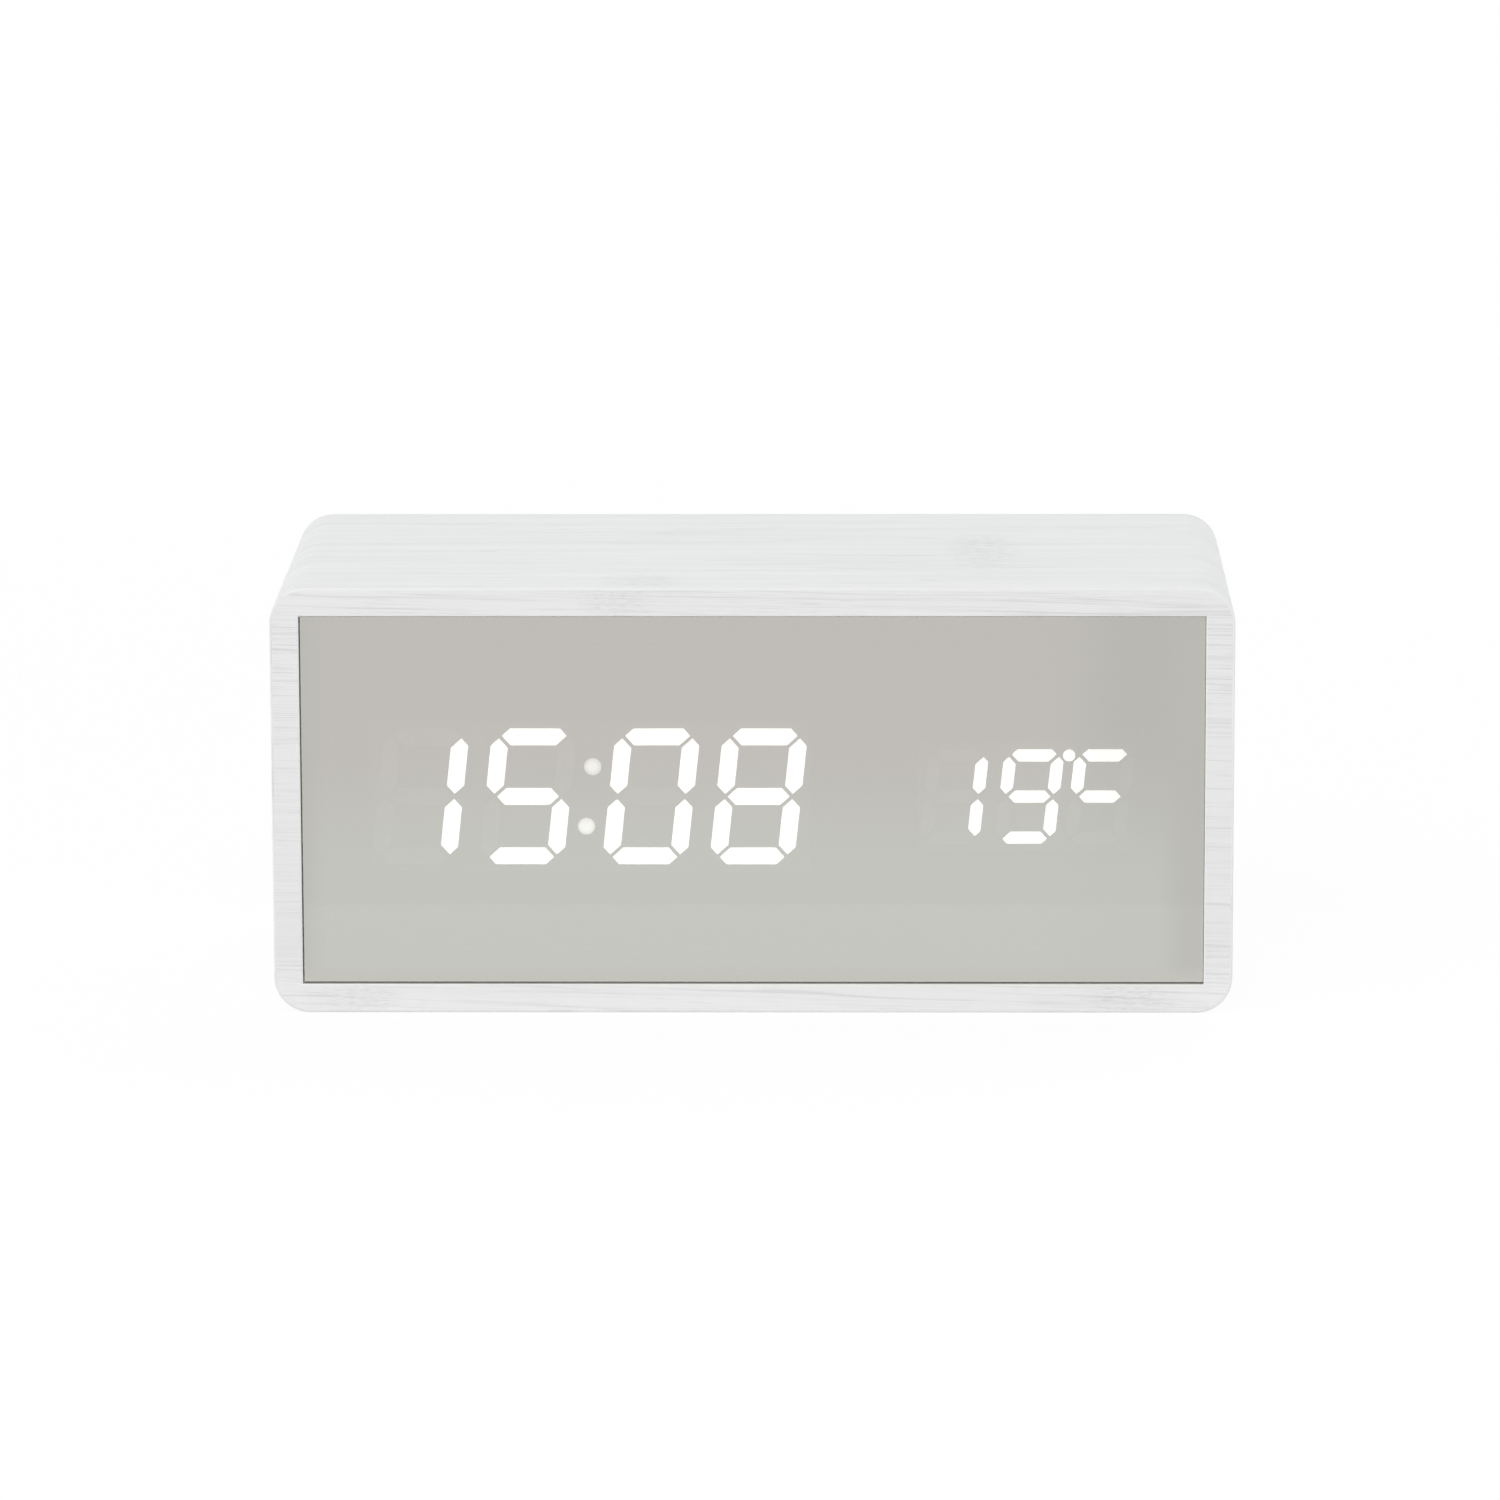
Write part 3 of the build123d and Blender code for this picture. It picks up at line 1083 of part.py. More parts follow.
with BuildPart() as ribbon_sockets:
    for seat_y, direction in ((DISPLAY_BOARD_BACK_Y, -1), (MAIN_BOARD_FRONT_Y, 1)):
        with BuildSketch(upright(seat_y)):
            with Locations((MAIN_X, -RIBBON_DROP)):
                Rectangle(RIBBON_SOCKET_WIDTH, RIBBON_SOCKET_DEPTH)
        extrude(amount=direction * RIBBON_SOCKET_HEIGHT)
save(ribbon_sockets, "ribbon_sockets")

RIBBON_START_Y = DISPLAY_BOARD_BACK_Y + RIBBON_SOCKET_HEIGHT
RIBBON_END_Y = MAIN_BOARD_FRONT_Y - RIBBON_SOCKET_HEIGHT
RIBBON_Z = HEIGHT / 2 - RIBBON_DROP
RIBBON_RUN = (RIBBON_END_Y - RIBBON_START_Y) / 4
with BuildPart() as ribbon_cable:
    with BuildLine() as ribbon_path:
        FilletPolyline(
            (MAIN_X, RIBBON_START_Y, RIBBON_Z),
            (MAIN_X, RIBBON_START_Y + RIBBON_RUN, RIBBON_Z),
            (MAIN_X, RIBBON_START_Y + 2 * RIBBON_RUN, RIBBON_Z - RIBBON_SAG),
            (MAIN_X, RIBBON_END_Y - RIBBON_RUN, RIBBON_Z),
            (MAIN_X, RIBBON_END_Y, RIBBON_Z),
            radius=RIBBON_BEND,
        )
    with BuildSketch(Plane(origin=(MAIN_X, RIBBON_START_Y, RIBBON_Z), x_dir=(1, 0, 0), z_dir=(0, 1, 0))):
        Rectangle(RIBBON_WIDTH, RIBBON_THICKNESS)
    sweep(path=ribbon_path.wires()[0])
save(ribbon_cable, "ribbon_cable")

for name, z in (("black_lead", CELL_Z[0] + LEAD_OFFSET), ("red_lead", CELL_Z[-1] - LEAD_OFFSET)):
    level = HEIGHT / 2 + z
    with BuildPart() as lead:
        with BuildLine() as lead_path:
            FilletPolyline(
                (BAY_LEFT_X, CELL_Y, level),
                (LEAD_PAD_X, CELL_Y, level),
                (LEAD_PAD_X, MAIN_BOARD_REAR_Y, level),
                radius=LEAD_BEND,
            )
        with BuildSketch(Plane(origin=(BAY_LEFT_X, CELL_Y, level), x_dir=(0, 1, 0), z_dir=(-1, 0, 0))):
            Circle(LEAD_RADIUS)
        sweep(path=lead_path.wires()[0])
    save(lead, name)
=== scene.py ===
import logging
import math
from dataclasses import dataclass, replace
from enum import Enum
from typing import Optional, Union

import bmesh
import bpy
from mathutils import Euler, Matrix, Quaternion, Vector


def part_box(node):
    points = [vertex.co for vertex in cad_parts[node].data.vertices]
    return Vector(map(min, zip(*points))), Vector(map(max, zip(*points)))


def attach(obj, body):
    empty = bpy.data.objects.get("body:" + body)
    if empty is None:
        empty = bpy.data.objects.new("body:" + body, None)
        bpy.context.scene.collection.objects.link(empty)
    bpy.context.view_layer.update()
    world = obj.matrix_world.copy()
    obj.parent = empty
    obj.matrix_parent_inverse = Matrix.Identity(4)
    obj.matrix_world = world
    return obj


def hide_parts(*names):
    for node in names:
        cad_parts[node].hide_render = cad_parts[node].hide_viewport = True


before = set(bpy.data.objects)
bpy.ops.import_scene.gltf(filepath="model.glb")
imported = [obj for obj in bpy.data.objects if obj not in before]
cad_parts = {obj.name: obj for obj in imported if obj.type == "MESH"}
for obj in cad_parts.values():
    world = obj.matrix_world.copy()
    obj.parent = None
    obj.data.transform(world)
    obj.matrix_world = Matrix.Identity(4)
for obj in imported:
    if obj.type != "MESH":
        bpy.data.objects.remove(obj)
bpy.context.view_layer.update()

MM = 0.001
NOISE_MIDDLE = 0.5
BUTTONS = ("set", "up", "down")
LOG = logging.getLogger("mirror_clock")

Pair = tuple[float, float]
Triple = tuple[float, float, float]
Socket = bpy.types.NodeSocket
Value = Union[Socket, float, Triple]

# Places in the frame, in millimetres

(LEFT, FRONT, _), (RIGHT, REAR, TOP) = (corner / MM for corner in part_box("wrap_veneer"))


class Axis(Enum):
    """The axes of the shared frame."""

    X = 0
    Y = 1
    Z = 2


class Body(Enum):
    """The bodies that new pieces ride on."""

    CLOCK = "clock"
    DOOR = "battery_door"


class Slot(Enum):
    """The record's slots named for new pieces, which are passed along but not read."""

    MIRROR = "half_mirror"
    COVER = "cover_plastic"


def middle_mm(node: str) -> Triple:
    """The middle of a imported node."""
    low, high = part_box(node)
    return tuple((low + high) / 2 / MM)


def reach_mm(node: str) -> Triple:
    """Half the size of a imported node."""
    low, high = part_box(node)
    return tuple((high - low) / 2 / MM)


def rear_mm(node: str) -> float:
    """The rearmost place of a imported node."""
    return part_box(node)[1].y / MM


# Colours


def grey(level: float) -> Triple:
    """A neutral colour."""
    return (level, level, level)


def shade(colour: Triple, factor: float) -> Triple:
    """A colour made lighter or darker by a factor."""
    return tuple(min(1.0, channel * factor) for channel in colour)


WHITE = grey(1.0)
ZINC = (0.62, 0.62, 0.63)
NICKEL = (0.72, 0.71, 0.68)
BLACK_PACKAGE = grey(0.02)

# Material graphs


class Graph:
    """The nodes of a material or of the world. Points are object coordinates, in millimetres."""

    def __init__(self, name: str, of_world: bool = False) -> None:
        """Starts an empty graph.

        Args:
            name: the name of the material or the world.
            of_world: whether the graph is a world's.
        """
        self.owner = (bpy.data.worlds if of_world else bpy.data.materials).new(name)
        self.owner.use_nodes = True
        self.nodes = self.owner.node_tree.nodes
        self.links = self.owner.node_tree.links
        self.nodes.clear()
        self.coords = self.nodes.new("ShaderNodeTexCoord").outputs["Object"]

    def feed(self, target: Socket, value: Value) -> None:
        """Links a socket to a target, or sets a plain value on it.

        Args:
            target: the input to fill.
            value: a socket, a number or a colour.
        """
        if isinstance(value, bpy.types.NodeSocket):
            self.links.new(value, target)
        elif target.type == "RGBA":
            target.default_value = (*value, 1.0)
        else:
            target.default_value = value

    def add(self, kind: str, feeds: dict[Union[str, int], Value], **settings: object) -> bpy.types.Node:
        """Adds a node.

        Args:
            kind: the node's type.
            feeds: what goes into its inputs, by name or place.
            settings: the node's own options.

        Returns:
            The new node.
        """
        node = self.nodes.new(kind)
        for key, value in settings.items():
            setattr(node, key, value)
        for key, value in feeds.items():
            self.feed(node.inputs[key], value)
        return node

    def point(
        self,
        sizes: Triple,
        centre: Triple = (0, 0, 0),
        turn: Triple = (0, 0, 0),
        source: Optional[Socket] = None,
    ) -> Socket:
        """Object coordinates counted in steps of the given sizes from a centre.

        Args:
            sizes: the length of one step along each axis.
            centre: the point that becomes zero.
            turn: a turn in degrees, after the sizes.
            source: coordinates to use instead of the object's own.

        Returns:
            The scaled coordinates.
        """
        angles = Euler([math.radians(angle) for angle in turn])
        offset = angles.to_matrix() @ Vector([-place / size for place, size in zip(centre, sizes)])
        feeds = {
            "Vector": source or self.coords,
            "Location": tuple(offset),
            "Rotation": tuple(angles),
            "Scale": tuple(1 / (size * MM) for size in sizes),
        }
        return self.add("ShaderNodeMapping", feeds).outputs["Vector"]

    def along(
        self, axis: Axis, step: float = 1.0, centre: Triple = (0, 0, 0), source: Optional[Socket] = None
    ) -> Socket:
        """One coordinate, counted in steps from a centre.

        Args:
            axis: which coordinate.
            step: the length of one step.
            centre: the point that becomes zero.
            source: coordinates to use instead of the object's own.

        Returns:
            The scaled coordinate.
        """
        point = self.point((step, step, step), centre, source=source)
        return self.add("ShaderNodeSeparateXYZ", {"Vector": point}).outputs[axis.value]

    def length(self, point: Socket) -> Socket:
        """How far a point lies from zero."""
        return self.add("ShaderNodeVectorMath", {0: point}, operation="LENGTH").outputs[1]

    def noise(self, point: Socket, detail: float = 2.0, roughness: float = 0.5) -> Socket:
        """Cloudy values between 0 and 1, one cloud per step of the point."""
        feeds = {"Vector": point, "Scale": 1.0, "Detail": detail, "Roughness": roughness}
        return self.add("ShaderNodeTexNoise", feeds).outputs["Fac"]

    def cloud(self, size: float, detail: float = 2.0, roughness: float = 0.5) -> Socket:
        """The same cloudy values, in clouds as long as they are wide."""
        return self.noise(self.point((size, size, size)), detail, roughness)

    def grains(self, size: float) -> Socket:
        """Distance from the middle of scattered grains of one size."""
        feeds = {"Vector": self.point((size, size, size)), "Scale": 1.0}
        return self.add("ShaderNodeTexVoronoi", feeds).outputs["Distance"]

    def maths(self, operation: str, first: Value, second: Value = 0.0, third: Value = 0.0) -> Socket:
        """A sum on one to three values."""
        feeds = {0: first, 1: second, 2: third}
        return self.add("ShaderNodeMath", feeds, operation=operation).outputs[0]

    def times(self, value: Value, factor: Value, offset: Value = 0.0) -> Socket:
        """A value times a factor, plus an offset."""
        return self.maths("MULTIPLY_ADD", value, factor, offset)

    def uneven(self, noise: Socket, level: float, spread: float = 0.2) -> Socket:
        """A level that noise moves by up to half the spread, up or down."""
        return self.times(noise, spread, level - spread / 2)

    def total(self, *parts: tuple[Value, float]) -> Socket:
        """The sum of values, each times its weight.

        Args:
            parts: each value with its weight.

        Returns:
            The sum.
        """
        result: Value = 0.0
        for value, weight in parts:
            result = self.times(value, weight, result)
        return result

    def average(self, first: Value, second: Value) -> Socket:
        """The middle of two values."""
        return self.total((first, 0.5), (second, 0.5))

    def between(self, value: Value, low: float, high: float) -> Socket:
        """Rises smoothly from 0 at low to 1 at high."""
        feeds = {"Value": value, "From Min": low, "From Max": high}
        return self.add("ShaderNodeMapRange", feeds, interpolation_type="SMOOTHSTEP").outputs[0]

    def mix(self, factor: Value, first: Value, second: Value) -> Socket:
        """A colour that goes from the first to the second as the factor goes from 0 to 1."""
        node = self.add("ShaderNodeMix", {0: factor, 6: first, 7: second}, data_type="RGBA")
        return node.outputs[2]

    def shades(self, factor: Value, colour: Triple, first: float, second: float) -> Socket:
        """A colour that goes from one shade of itself to another as the factor goes from 0 to 1."""
        return self.mix(factor, shade(colour, first), shade(colour, second))

    def bump(self, height: Socket, depth: float) -> Socket:
        """A normal for relief of the given depth."""
        return self.add("ShaderNodeBump", {"Height": height, "Distance": depth * MM}).outputs["Normal"]

    def surface(self, **sockets: Value) -> bpy.types.Material:
        """Ends the graph with one surface shader.

        Args:
            sockets: the shader's inputs, with underscores for the spaces in their names.

        Returns:
            The finished material.
        """
        feeds = {name.replace("_", " "): value for name, value in sockets.items()}
        shader = self.add("ShaderNodeBsdfPrincipled", feeds)
        self.add("ShaderNodeOutputMaterial", {"Surface": shader.outputs[0]})
        return self.owner


# Finishes


@dataclass(frozen=True)
class Finish:
    """What a piece is finished with."""

    name: str

    def material(self) -> bpy.types.Material:
        """The finish as a material, which each kind of finish makes in its own way."""
        raise NotImplementedError


@dataclass(frozen=True)
class Patch:
    """A place in the veneer. Its centre and its reach along each axis are in millimetres."""

    centre: Triple
    reach: Triple


@dataclass(frozen=True)
class PaintedEdgeHighlight:
    """A painted highlight on edges, in a plain pale tone: from one depth to another, above a height, all in
    millimetres.
    """

    starts: float
    ends: float
    height: float
    tone: Triple
    fade: float = 1.0


@dataclass(frozen=True)
class Stroke:
    """Marks along the fibres, drawn where noise goes from one level to another.

    Their length and width are in millimetres, times the veneer's own scale unless they are fixed.
    """

    length: float
    width: float
    starts: float
    full: float
    detail: float = 2.0
    roughness: float = 0.5
    fixed: bool = False


@dataclass(frozen=True)
class WashedVeneer(Finish):
    """White-washed bamboo veneer: long fibres with darker lines between them.

    A pair of lengths is along the fibres and across them, and a fade goes from where something starts to
    where it is full. The weights of the grain and its relief are for growth lines, streaks and hairs.
    """

    across: Axis
    tone: Triple
    edge: PaintedEdgeHighlight
    knots: tuple[Patch, ...] = ()
    streaked: tuple[Patch, ...] = ()
    contrast: float = 0.62
    line_tone: Triple = (0.55, 0.55, 0.56)
    darkest: float = 0.72
    # Painted bounce light: how much paler the veneer gets near the base
    base_bounce_light: float = 1.0
    bounce_light_fade: Pair = (11.0, 2.75)
    fibre_length: float = 1.0
    line_scale: float = 0.6
    slope: float = 0.0
    wander: float = 0.75
    bend: Pair = (55.0, 7.0)
    eddy: Pair = (3.0, 1.2)
    ring_pitch: float = 2.3
    ring_bend: Pair = (70.0, 5.0)
    stray: float = 1.6
    line_width: float = 0.08
    line_core: float = 1 / 7
    line_run: Stroke = Stroke(26.0, 1.7, 0.36, 0.6)
    streak: Stroke = Stroke(24.0, 0.42, 0.5, 0.69, detail=3.0, roughness=0.6)
    hair: Stroke = Stroke(6.0, 0.16, 0.55, 0.75)
    dash: Stroke = Stroke(1.3, 0.2, 0.44, 0.66, fixed=True)
    clump: Stroke = Stroke(50.0, 5.0, 0.62, 0.4, detail=1.0, fixed=True)
    clumped: float = 0.0
    band: Pair = (90.0, 2.2)
    band_weight: float = 0.22
    grain_weights: Triple = (0.5, 0.34, 0.25)
    patch_fade: Pair = (0.0, 0.6)
    patch_weights: Pair = (0.45, 0.4)
    mark_fade: Pair = (0.05, 0.7)
    mark_weight: float = 0.46
    shadow_fade: Pair = (0.1, 0.9)
    shadow_weight: float = 0.07
    relief_weights: Triple = (-0.4, -0.4, -0.2)
    relief_depth: float = 0.02
    roughness: float = 0.52
    streak_roughness: float = 0.15
    gloss: float = 0.3

    def steps(self, lengths: Pair) -> Triple:
        """Lengths along the fibres and across them, by axis."""
        along, across = lengths
        return tuple(across if axis is self.across else along for axis in Axis)

    def sizes(self, lengths: Pair) -> Triple:
        """The same lengths at this veneer's own scale."""
        return self.steps((lengths[0] * self.fibre_length, lengths[1] * self.line_scale))

    def inside(self, graph: Graph, patches: tuple[Patch, ...]) -> Value:
        """How far a point lies inside one of the patches.

        Args:
            graph: the graph to add to.
            patches: the patches.

        Returns:
            From 0 outside them all to 1 in the middle of one.
        """
        result: Value = 0.0
        for patch in patches:
            point = graph.point(patch.reach, patch.centre)
            ball = graph.add("ShaderNodeTexGradient", {"Vector": point}, gradient_type="SPHERICAL")
            result = graph.maths("MAXIMUM", result, ball.outputs["Fac"])
        return result

    def fibre_point(self, graph: Graph, knotted: Value) -> Socket:
        """Coordinates that slope and wander across the fibres, more so round a knot.

        Args:
            graph: the graph to add to.
            knotted: how far a point lies inside a knot.

        Returns:
            The moved coordinates.
        """
        slow = graph.noise(graph.point(self.sizes(self.bend)), detail=1.0)
        quick = graph.noise(graph.point(self.sizes(self.eddy)), detail=1.0)
        lean = graph.times(graph.along(Axis.X), self.slope)
        drift = graph.times(graph.maths("SUBTRACT", slow, NOISE_MIDDLE), 2 * self.wander, lean)
        swirl = graph.times(graph.maths("SUBTRACT", quick, NOISE_MIDDLE), knotted)
        shift = graph.times(graph.times(swirl, self.line_scale, drift), MM)
        aside = graph.add("ShaderNodeCombineXYZ", {self.across.value: shift}).outputs[0]
        moved = graph.add("ShaderNodeVectorMath", {0: graph.coords, 1: aside}, operation="ADD")
        return moved.outputs[0]

    def strokes(self, graph: Graph, fibre: Socket, stroke: Stroke) -> Socket:
        """Draws one kind of stroke.

        Args:
            graph: the graph to add to.
            fibre: coordinates that follow the fibres.
            stroke: the kind of stroke.

        Returns:
            From 0 between the strokes to 1 on them.
        """
        lengths = (stroke.length, stroke.width)
        sizes = self.steps(lengths) if stroke.fixed else self.sizes(lengths)
        noise = graph.noise(graph.point(sizes, source=fibre), stroke.detail, stroke.roughness)
        return graph.between(noise, stroke.starts, stroke.full)

    def growth_lines(self, graph: Graph, fibre: Socket) -> Socket:
        """Thin lines at about even steps across the fibres, each fading in and out along its length.

        Args:
            graph: the graph to add to.
            fibre: coordinates that follow the fibres.

        Returns:
            From 0 between the lines to 1 on them.
        """
        stray = graph.noise(graph.point(self.sizes(self.ring_bend), source=fibre))
        phase = graph.times(stray, self.stray, graph.along(self.across, self.ring_pitch, source=fibre))
        off_line = graph.maths("PINGPONG", phase, 0.5)
        line = graph.between(off_line, self.line_width, self.line_width * self.line_core)
        return graph.times(line, self.strokes(graph, fibre, self.line_run))

    def material(self) -> bpy.types.Material:
        """The veneer with its bands, lines, fibres and knots, a painted highlight on its edges and painted
        bounce light near its base.

        Returns:
            The finished material.
        """
        graph = Graph(self.name)
        knotted = self.inside(graph, self.knots)
        fibre = self.fibre_point(graph, knotted)
        streaks = self.strokes(graph, fibre, self.streak)
        hairs = self.strokes(graph, fibre, self.hair)
        grain = (self.growth_lines(graph, fibre), streaks, hairs)
        patched = graph.between(self.inside(graph, self.streaked), *self.patch_fade)
        extra = graph.times(patched, graph.total(*zip((streaks, hairs), self.patch_weights)))
        lines = graph.total(*zip(grain, self.grain_weights), (extra, 1.0))
        lines = graph.maths("MINIMUM", lines, self.darkest)
        lines = graph.times(lines, graph.times(self.strokes(graph, fibre, self.clump), -self.clumped, 1.0))
        bands = graph.noise(graph.point(self.sizes(self.band), source=fibre), detail=1.0)
        marks = graph.times(self.strokes(graph, fibre, self.dash), graph.between(knotted, *self.mark_fade))
        shadow = graph.between(knotted, *self.shadow_fade)
        weights = (self.band_weight, 1.0, self.mark_weight, self.shadow_weight)
        dark = graph.total(*zip((bands, lines, marks, shadow), weights))
        height = graph.along(Axis.Z)
        depth = graph.maths("ABSOLUTE", graph.along(Axis.Y))
        # Painted bounce light from the floor: paler towards the base
        low = graph.between(height, *self.bounce_light_fade)
        tone_with_bounce_light = graph.shades(low, self.tone, 1.0, self.base_bounce_light)
        body = graph.mix(graph.times(dark, self.contrast), tone_with_bounce_light, self.line_tone)
        # Painted highlight: a plain pale tone on the edges
        upper = graph.between(height, self.edge.height - self.edge.fade, self.edge.height)
        edge_highlight_and_ink_wear = graph.times(graph.between(depth, self.edge.starts, self.edge.ends), upper)
        relief = graph.total(*zip(grain, self.relief_weights))
        return graph.surface(
            Base_Color=graph.mix(edge_highlight_and_ink_wear, body, self.edge.tone),
            Roughness=graph.times(streaks, self.streak_roughness, self.roughness),
            Specular_IOR_Level=self.gloss,
            Normal=graph.bump(relief, self.relief_depth),
        )


@dataclass(frozen=True)
class PrimedBoard(Finish):
    """Fibre board with a coat of white primer that fades out away from the open ends."""

    board: Triple = (0.5, 0.38, 0.26)
    primer: Triple = (0.8, 0.8, 0.78)
    primer_fade: Pair = (22.0, 28.0)
    fade_drift: float = 6.0
    cloud_size: float = 14.0
    fibre: Triple = (0.9, 0.5, 0.7)
    fibre_span: Pair = (0.3, 0.7)
    board_shades: Pair = (0.7, 1.15)
    primer_shades: Pair = (0.92, 1.0)
    relief_depth: float = 0.04
    roughness: float = 0.85

    def material(self) -> bpy.types.Material:
        """Short matted fibres, with the primer over them near both ends.

        Returns:
            The finished material.
        """
        graph = Graph(self.name)
        matted = graph.noise(graph.point(self.fibre), detail=4.0, roughness=0.7)
        depth = graph.maths("ABSOLUTE", graph.along(Axis.Y))
        drifted = graph.times(graph.cloud(self.cloud_size), self.fade_drift, depth)
        tone = graph.between(matted, *self.fibre_span)
        raw = graph.shades(tone, self.board, *self.board_shades)
        painted = graph.shades(tone, self.primer, *self.primer_shades)
        return graph.surface(
            Base_Color=graph.mix(graph.between(drifted, *self.primer_fade), raw, painted),
            Roughness=self.roughness,
            Normal=graph.bump(matted, self.relief_depth),
        )


@dataclass(frozen=True)
class SawnWood(Finish):
    """Raw softwood, sawn along Y."""

    early: Triple = (0.72, 0.56, 0.37)
    late: Triple = (0.5, 0.34, 0.19)
    ring: Triple = (1.3, 45.0, 2.2)
    ring_span: Pair = (0.35, 0.65)
    saw_mark: Triple = (3.0, 0.35, 3.0)
    relief_depth: float = 0.06
    roughness: float = 0.8

    def material(self) -> bpy.types.Material:
        """Growth rings across the end grain and saw marks along the sides.

        Returns:
            The finished material.
        """
        graph = Graph(self.name)
        rings = graph.noise(graph.point(self.ring), detail=3.0)
        sawn = graph.noise(graph.point(self.saw_mark))
        return graph.surface(
            Base_Color=graph.mix(graph.between(rings, *self.ring_span), self.early, self.late),
            Roughness=self.roughness,
            Normal=graph.bump(graph.average(rings, sawn), self.relief_depth),
        )


@dataclass(frozen=True)
class HalfMirror(Finish):
    """Half-silvered coating: it mirrors the room and lets bright digits through."""

    centre: Triple
    reach: Triple
    coat: Triple = (0.935, 0.942, 0.882)
    # The tones below are painted reflections of the room, laid over the coat's own colour
    side_reflection: Triple = (0.862, 0.886, 0.815)
    upper_end_reflection: Triple = (0.878, 0.909, 0.831)
    lower_end_reflection: Triple = (0.855, 0.846, 0.788)
    foot_reflection: Triple = (0.921, 0.905, 0.821)
    upper_fade: Pair = (-14.0, 15.0)
    side_fade: Pair = (0.62, 0.84)
    side_drift: float = 0.12
    side_low: float = 0.25
    cloud_size: float = 38.0
    edge_width: float = 6.2
    edge_shift: float = 2.0
    foot_width: float = 3.0
    wave_size: float = 30.0
    wave_depth: float = 0.004
    smear: Triple = (9.0, 9.0, 22.0)
    roughness: float = 0.03
    cover: float = 0.6

    def material(self) -> bpy.types.Material:
        """A metal coat on a slightly wavy sheet, with painted reflections: a darker, greener tone over the
        right, their own tones at both ends and a warmer foot.

        Returns:
            The finished material.
        """
        graph = Graph(self.name)
        half_width, _, half_height = self.reach
        share = graph.along(Axis.X, half_width, self.centre)
        rise = graph.along(Axis.Z, centre=self.centre)
        # Painted reflections: the right side, the two ends and the foot take their own tones
        upper = graph.between(rise, *self.upper_fade)
        cloud = graph.maths("SUBTRACT", graph.cloud(self.cloud_size, detail=1.0), NOISE_MIDDLE)
        right = graph.between(graph.times(cloud, self.side_drift, share), *self.side_fade)
        side = graph.times(right, graph.times(upper, 1 - self.side_low, self.side_low))
        aside = graph.maths("ABSOLUTE", graph.maths("ADD", share, self.edge_shift / half_width))
        edge = graph.between(aside, 1 - self.edge_width / half_width, 1.0)
        foot = graph.between(rise, self.foot_width - half_height, -half_height)
        rim = graph.mix(upper, self.lower_end_reflection, self.upper_end_reflection)
        colour = graph.mix(edge, graph.mix(side, self.coat, self.side_reflection), rim)
        smears = graph.noise(graph.point(self.smear), detail=3.0)
        return graph.surface(
            Base_Color=graph.mix(foot, colour, self.foot_reflection),
            Metallic=1.0,
            Roughness=graph.uneven(smears, self.roughness, self.roughness),
            Alpha=self.cover,
            Normal=graph.bump(graph.cloud(self.wave_size, detail=0.0), self.wave_depth),
        )


@dataclass(frozen=True)
class ClearAcrylic(Finish):
    """The uncoated faces of the panel: a faint cool haze over what lies behind."""

    haze: Triple = (0.5, 0.55, 0.52)
    cover: float = 0.04
    dust_size: float = 2.0
    dust_shades: Pair = (1.0, 1.2)
    roughness: float = 0.25

    def material(self) -> bpy.types.Material:
        """Nearly clear plastic with a little dust.

        Returns:
            The finished material.
        """
        graph = Graph(self.name)
        dust = graph.cloud(self.dust_size, detail=3.0)
        haze = graph.shades(dust, self.haze, *self.dust_shades)
        return graph.surface(Base_Color=haze, Roughness=self.roughness, Alpha=self.cover)


@dataclass(frozen=True)
class Moulded(Finish):
    """Moulded plastic with a fine spark-eroded texture."""

    colour: Triple
    roughness: float = 0.5
    pore: float = 0.35
    depth: float = 0.015
    mottle: float = 0.25
    mottle_span: Pair = (0.35, 0.65)
    cloud_size: float = 16.0

    def body(self, graph: Graph) -> tuple[Socket, Socket, Socket]:
        """The bare plastic.

        Args:
            graph: the graph to add to.

        Returns:
            Its colour, its roughness and its normal.
        """
        pores = graph.cloud(self.pore, detail=3.0, roughness=0.6)
        tone = graph.between(graph.average(pores, graph.cloud(self.cloud_size)), *self.mottle_span)
        colour = graph.shades(tone, self.colour, 1 - self.mottle, 1 + self.mottle)
        return colour, graph.uneven(pores, self.roughness), graph.bump(pores, self.depth)

    def material(self) -> bpy.types.Material:
        """The plastic as it leaves its mould.

        Returns:
            The finished material.
        """
        graph = Graph(self.name)
        colour, rough, normal = self.body(graph)
        return graph.surface(Base_Color=colour, Roughness=rough, Normal=normal)


@dataclass(frozen=True)
class PrintedButton(Moulded):
    """A moulded button whose raised mark is printed pale. The print starts a little under its face."""

    face: float = rear_mm("set_button")
    ink: Triple = (0.62, 0.62, 0.6)
    ink_starts: float = 0.15
    ink_full: float = 0.07
    ink_shades: Pair = (0.8, 1.0)
    wear_size: float = 0.5
    wear_span: Pair = (0.3, 0.6)

    def material(self) -> bpy.types.Material:
        """Dark satin plastic with a pale print on the mark.

        Returns:
            The finished material.
        """
        graph = Graph(self.name)
        colour, rough, normal = self.body(graph)
        edge_highlight_and_ink_wear = graph.between(graph.cloud(self.wear_size, detail=3.0), *self.wear_span)
        ink = graph.shades(edge_highlight_and_ink_wear, self.ink, *self.ink_shades)
        printed = graph.between(graph.along(Axis.Y), self.face - self.ink_starts, self.face - self.ink_full)
        return graph.surface(Base_Color=graph.mix(printed, colour, ink), Roughness=rough, Normal=normal)


